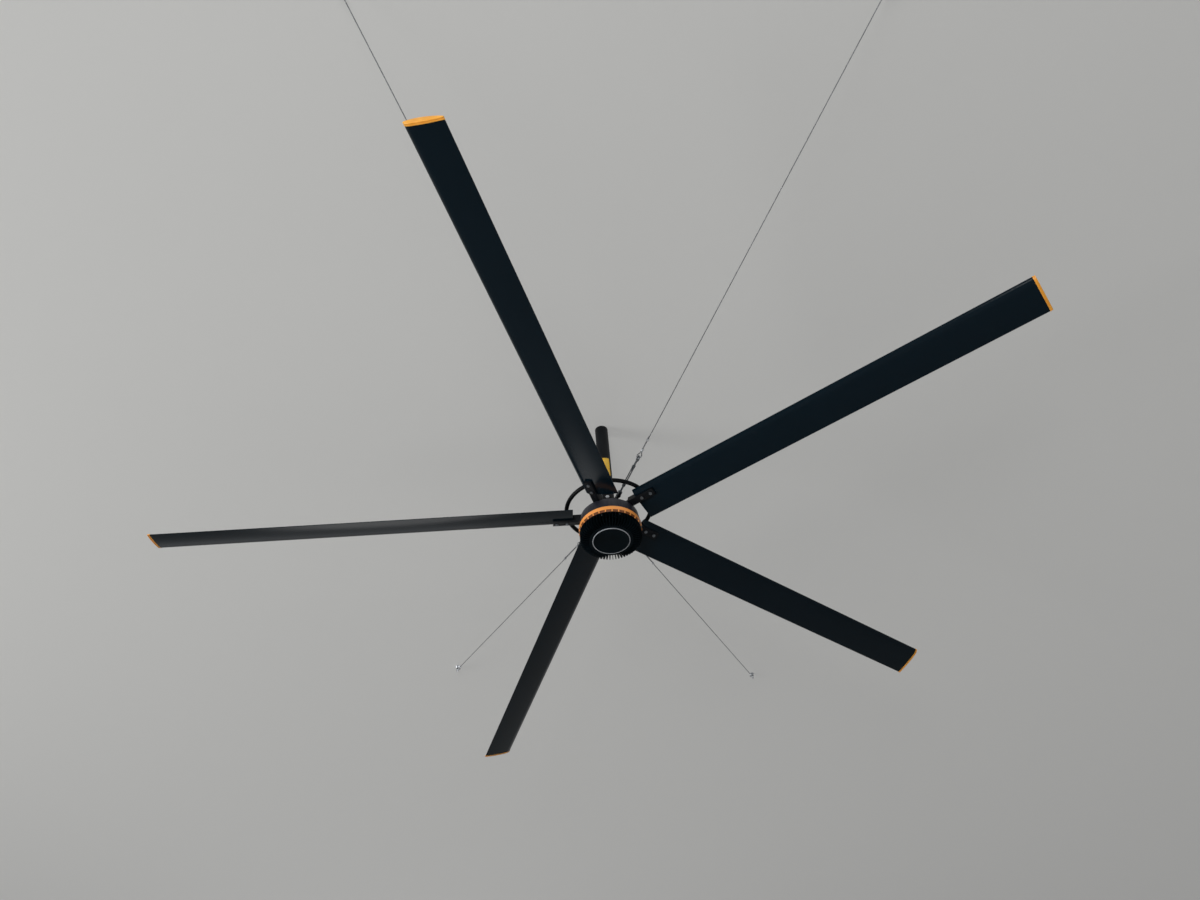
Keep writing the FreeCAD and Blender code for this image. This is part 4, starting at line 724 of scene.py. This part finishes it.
def thread(bm, start, end):
    """A screw thread round the wire's line."""
    one = bmesh.new()
    edges = loop_of(one, [(start + share * THREAD_PITCH, 0, SCREW + rise) for share, rise in RIDGE])
    spun(one, edges, ALONG, THREAD_STEPS, dvec=(THREAD_PITCH / THREAD_STEPS, 0, 0))
    repeat(bm, one, int((end - start) / THREAD_PITCH) - 1, (THREAD_PITCH, 0, 0))
    close_ends(bm)


jaw_threads, eyes = bmesh.new(), bmesh.new()
for place, _ in LINES.values():
    screw, eye = bmesh.new(), bmesh.new()
    thread(screw, JAW_SCREW, BODY_START)
    thread(eye, BODY_END, EYE_AT - EYE_NECK)
    pillar(eye, (BODY_END - SCREWED_IN, 0, 0), (EYE_AT - EYE_RADIUS, 0, 0), SCREW)
    bend = circle(eye, 18, EYE_BAR, Matrix.Translation((EYE_AT + EYE_RADIUS, 0, 0)))
    spun(eye, bend, (0, 1, 0), 48, cent=(EYE_AT, 0, 0), use_merge=True)
    for made, kept in ((screw, jaw_threads), (eye, eyes)):
        made.transform(place)
        repeat(kept, made)
piece("turnbuckle_jaw_threads", jaw_threads, ["turnbuckle_jaws"])
piece("turnbuckle_eyes_bent", eyes, ["turnbuckle_eyes"])
for node, edge in (("turnbuckle_jaws", 0.0010), ("jaw_pins", 0.0006), ("guy_clamp_front", 0.0010),
                   ("guy_clamp_rear", 0.0010), ("guy_clamp_bolts", 0.0006)):
    softened(node, edge)
print("jaws and eyes", len(LINES))

# %% [markdown]
# ## Down-rod and its marker
# The rod is a black tube that stands on the shaft's shoulder and goes up through the ceiling into its bracket. A
# plain yellow plate is wrapped round its front. Both could be cylinders with a thickness, but a thin outline that
# is spun gives the wall at once, and the plate only takes part of a turn.

# %% Rod, marker and bracket
ROD, ROD_WALL, ROD_TOP, ROD_FOOT = 0.038, 0.004, -0.020, -0.808
MARKER_TOP, MARKER_FOOT, MARKER_IN, MARKER_OUT = -0.400, -0.540, 0.00005, 0.00055
MARKER_FROM, MARKER_SWEEP = math.radians(-138), math.radians(96)
rod = bmesh.new()
turned(rod, [(r, HUB_TOP - z) for r, z in ((ROD - ROD_WALL, ROD_TOP), (ROD, ROD_TOP), (ROD, ROD_FOOT),
                                           (ROD - ROD_WALL, ROD_FOOT))], 72)
piece("down_rod_tube", rod, ["down_rod"], edge=0.0008)
marker = bmesh.new()
edges = loop_of(marker, [(ROD + r, 0, z) for r, z in ((MARKER_IN, MARKER_TOP), (MARKER_OUT, MARKER_TOP),
                                                      (MARKER_OUT, MARKER_FOOT), (MARKER_IN, MARKER_FOOT))])
bmesh.ops.rotate(marker, verts=ends_of(edges), cent=(0, 0, 0), matrix=Matrix.Rotation(MARKER_FROM, 3, "Z"))
spun(marker, edges, UPRIGHT, 32, angle=MARKER_SWEEP)
close_ends(marker)
piece("rod_marker_plate", marker, ["rod_marker"])
softened("ceiling_bracket", 0.0015)
for node in ("bracket_bolts", "rod_bolts"):
    softened(node, 0.0007, fresh_zinc)
print("rod diameter", 2 * ROD)

# %% [markdown]
# ## Motor
# The motor's outside is a stack of turned castings: a smooth upper cover with five pockets for the arms, a bright
# band with teeth below it, and a finned housing closed by a round cover with a thin trim ring. Each one is an
# outline spun round the fan's axis. A fin or a tooth is one small slab, and Spin with duplicates sets it round the
# circle. The upper cover's pockets are already cut in its solid, so that one only gets its edges rounded.

# %% Upper cover, bright band and teeth
BAND, TEETH, TOOTH = 0.171, 30, 0.007
softened("upper_cover", 0.0014)
band = bmesh.new()
turned(band, [(0.1631, BAND_TOP), (0.169, BAND_TOP), (BAND, 0.075), (BAND, BAND_EDGE), (0.166, BAND_FOOT),
              (0.1631, BAND_FOOT)])
piece("accent_band_ring", band, ["accent_band"], edge=0.0006)
teeth = bmesh.new()
side = [(r, -TOOTH / 2, HUB_TOP - depth) for r, depth in ((0.1640, BAND_EDGE), (0.1709, BAND_EDGE),
                                                          (0.1709, 0.1128), (0.1640, 0.1128))]
around(teeth, slab(teeth, side, (0, TOOTH, 0)), TEETH)
piece("accent_band_teeth", teeth, ["accent_band"], orange_teeth, edge=0.0006)
print("band across", 2 * BAND, "with teeth", TEETH)

# %% Finned housing
HOUSING_FOOT, FINS, FIN = 0.171, 60, 0.0036
housing = bmesh.new()
turned(housing, [(0.150, 0.105), (0.162, 0.105), (0.162, BAND_FOOT), (0.168, BAND_FOOT), (0.168, 0.117),
                 (0.118, 0.117), (0.118, HOUSING_FOOT), (0.031, HOUSING_FOOT), (0.031, 0.163), (0.110, 0.163),
                 (0.110, 0.109), (0.150, 0.109)])
# The wall and the fins use the charcoal darkened as painted shade.
piece("lower_housing_wall", housing, ["lower_housing"], charcoal_painted_shade, edge=0.0008)
fins = bmesh.new()
side = [(r, -FIN / 2, HUB_TOP - depth) for r, depth in ((0.117, 0.1165), (0.168, 0.1165), (0.168, 0.157),
                                                        (0.154, HOUSING_FOOT), (0.117, HOUSING_FOOT))]
around(fins, slab(fins, side, (0, FIN, 0)), FINS)
piece("lower_housing_fins", fins, ["lower_housing"], charcoal_painted_shade, edge=0.0006)
softened("housing_screws", 0.0006)
print("fins", FINS)

# %% Bottom cover and trim ring
LID, LID_DEEP, LID_RIM, STEP_WIDE, STEP_DEEP = 0.098, 0.003, 0.010, 0.0012, 0.0008
TRIM, TRIM_IN, TRIM_FOOT = 0.102, LID + 0.0001, 0.1746
bottom = bmesh.new()
disc = bmesh.ops.create_circle(bottom, cap_ends=True, segments=120, radius=LID,
                               matrix=Matrix.Translation((0, 0, HUB_TOP - HOUSING_FOOT)))
lid = disc["verts"][0].link_faces[0]
grown = bmesh.ops.extrude_face_region(bottom, geom=[lid], use_keep_orig=True)["geom"]
bmesh.ops.translate(bottom, verts=only(BMVert, grown), vec=(0, 0, -LID_DEEP))
under = only(BMFace, grown)
bmesh.ops.inset_region(bottom, faces=under, thickness=LID_RIM, use_even_offset=True)
bmesh.ops.inset_region(bottom, faces=under, thickness=STEP_WIDE, depth=STEP_DEEP, use_even_offset=True)
# The lid takes the same charcoal darkened as painted shade.
piece("bottom_cover_lid", bottom, ["bottom_cover"], charcoal_painted_shade, edge=0.0005)
trim = bmesh.new()
turned(trim, [(TRIM_IN, HOUSING_FOOT), (TRIM, HOUSING_FOOT), (TRIM, 0.174), (TRIM - 0.001, TRIM_FOOT),
              (TRIM_IN, TRIM_FOOT)])
piece("trim_ring_turned", trim, ["trim_ring"], edge=0.0004)
print("bottom cover across", 2 * LID)

# %% [markdown]
# ## Blade outline
# Each blade is a hollow aluminium profile: a slightly full underside, a round nose and an arched back that runs
# out to a thin tail. A few Bezier points describe that outline. The underside's fullness is only a few
# millimetres, but without it the long gloss along a blade would be one flat grey.

# %% Blade outline
LOW, THICK, CHORD, NOSE = -0.0092, 0.030, 0.188, -0.052
NOSE_HEIGHT, NOSE_REACH, NOSE_SHARE, FULLEST = 0.019, 0.032, 0.55, 0.45
BELLY, BELLY_STEPS, NOSE_POINTS, BACK_POINTS = 0.0035, 14, 13, 33
THIN_TAIL, THICK_TAIL = 0.003, 0.006


def blade_outline(x, inset=0.0, tail=0.0, edge=THIN_TAIL):
    """The profile at x, drawn in all round by inset and at its tail by tail; edge is the tail's height."""
    low, high, front, rear = LOW + inset, THICK - 2 * inset, NOSE + inset, NOSE + CHORD - tail
    chin, reach = NOSE_HEIGHT * high / THICK, NOSE_REACH * high / THICK
    full, rise = front + FULLEST * (rear - front), (4 * high - 2 * chin + edge) / 3
    steep = 4 * BELLY / (rear - front - reach)
    belly_end, nose = Vector((x, front + reach, low)), Vector((x, front, low + chin))
    corner = Vector((x, front, low + steep * reach))
    shares = [step / BELLY_STEPS for step in range(BELLY_STEPS)]
    belly = [Vector((x, rear + s * (front + reach - rear), low - 4 * BELLY * s * (1 - s))) for s in shares]
    under = interpolate_bezier(belly_end, belly_end.lerp(corner, NOSE_SHARE), nose.lerp(corner, NOSE_SHARE), nose,
                               NOSE_POINTS)
    back = interpolate_bezier(nose, Vector((x, front, low + rise)), Vector((x, full, low + rise + chin - edge)),
                              Vector((x, rear, low + edge)), BACK_POINTS)
    return belly + under + back[1:]


print("outline of", len(blade_outline(0.0)), "points")

# %% [markdown]
# ## Blades
# The outline is extruded along the span, as the real profile is pressed through its die. At the root it is bridged
# to a smaller loop inside, so that the hollow shows. The UV map holds the way along and across the blade for the
# drawn lines, and one matrix for each arm tilts, droops and turns the blade into its place.

# %% Where the arms point
FIRST_ARM, ARM_STEP, DROOP, BLADE_PITCH = 255.6, 72, 1.07, -17.5
ARM_HEIGHT, ARM_SHIFT = -0.825, -0.018


def arm_frame(index):
    """Axes of an arm: X out along it, -Y its leading side, Z square to the blade."""
    turn = Matrix.Rotation(math.radians(FIRST_ARM + ARM_STEP * index), 4, "Z")
    droop = Matrix.Rotation(math.radians(DROOP), 4, "Y")
    tilt = droop @ Matrix.Rotation(math.radians(BLADE_PITCH), 4, "X")
    return Matrix.Translation((0, 0, ARM_HEIGHT)) @ turn @ tilt @ Matrix.Translation((0, ARM_SHIFT, 0))


ARMS = [arm_frame(i) for i in range(5)]
print("arms", len(ARMS))

# %% Blades
ROOT, CAP_START, SKIN = 0.200, 2.426, 0.0022
HOLLOW_TAIL, HOLLOW_LENGTH = 0.030, 0.270


def drawn_out(bm, edges, length):
    """Extrude a loop along the span and close its far end."""
    grown = bmesh.ops.extrude_edge_only(bm, edges=edges)["geom"]
    bmesh.ops.translate(bm, verts=only(BMVert, grown), vec=(length, 0, 0))
    bmesh.ops.edgeloop_fill(bm, edges=only(BMEdge, grown))


for index, place in enumerate(ARMS, 1):
    blade = bmesh.new()
    outer = loop_of(blade, blade_outline(ROOT))
    inner = loop_of(blade, blade_outline(ROOT, SKIN, HOLLOW_TAIL, THICK_TAIL))
    drawn_out(blade, outer, CAP_START - ROOT)
    drawn_out(blade, inner, HOLLOW_LENGTH)
    bmesh.ops.bridge_loops(blade, edges=outer + inner)
    grain_map = blade.loops.layers.uv.new("along_and_across")
    for face in blade.faces:
        for corner in face.loops:
            corner[grain_map].uv = (corner.vert.co.x, corner.vert.co.y + corner.vert.co.z)
    blade.transform(place)
    piece("blade_%d_profile" % index, blade, ["blade_%d" % index])
print("blades", len(ARMS))

# %% [markdown]
# ## End caps
# A moulded cap closes each blade. It stands a little proud of the profile, has a shallow groove round its middle,
# and its outer edge is rounded. Bridging a row of outlines, each drawn in a little more or less than the one
# before, makes all three at once, where a bevel would trip over the thin tail.

# %% End caps
LIP, GROOVE = 0.0015, 0.0006
# Each ring: how far out it lies, how far it is drawn in, the same at its tail, and its tail's height.
CAP_RINGS = [(0.0, -LIP, -LIP, THICK_TAIL), (0.0042, -LIP, -LIP, THICK_TAIL), (0.0050, GROOVE, GROOVE, THIN_TAIL),
             (0.0088, GROOVE, GROOVE, THIN_TAIL), (0.0096, -LIP, -LIP, THICK_TAIL),
             (0.0110, -LIP, -LIP, THICK_TAIL), (0.0125, 0.0004 - LIP, 0.0008, 0.005),
             (0.0136, 0.0015 - LIP, 0.0024, 0.004), (0.0140, 0.0030 - LIP, 2 * LIP, THIN_TAIL)]
for index, place in enumerate(ARMS, 1):
    cap = bmesh.new()
    rings = [loop_of(cap, blade_outline(CAP_START + x, *drawn_in)) for x, *drawn_in in CAP_RINGS]
    for one, other in zip(rings, rings[1:]):
        bmesh.ops.bridge_loops(cap, edges=one + other)
    for end in (rings[0], rings[-1]):
        bmesh.ops.edgeloop_fill(cap, edges=end)
    cap.transform(place)
    piece("end_cap_%d_moulded" % index, cap, ["end_cap_%d" % index])
print("caps", len(ARMS))

# %% [markdown]
# ## Arms and safety ring
# Flat bars with a stepped heel carry the blades, and a round ring above the roots ties them together should a
# bolt ever fail. The ring is a circle spun round the axis. Its saddles, the arms and their bolts are plain
# machined pieces, so their solids are kept and only get rounded edges.

# %% Ring, saddles, arms and bolts
RING_RADIUS, RING_BAR, RING_HEIGHT = 0.233, 0.0115, -0.781
ring = bmesh.new()
across = Matrix.Translation((RING_RADIUS, 0, RING_HEIGHT)) @ Matrix.Rotation(math.pi / 2, 4, "X")
spun(ring, circle(ring, 24, RING_BAR, across), UPRIGHT, 144, cent=(0, 0, RING_HEIGHT), use_merge=True)
piece("safety_ring_tube", ring, ["safety_ring"])
for node, edge in (("ring_saddles", 0.0012), ("blade_arms", 0.0012), ("arm_bolts", 0.0007),
                   ("blade_bolts", 0.0007)):
    softened(node, edge)
print("safety ring radius", RING_RADIUS)
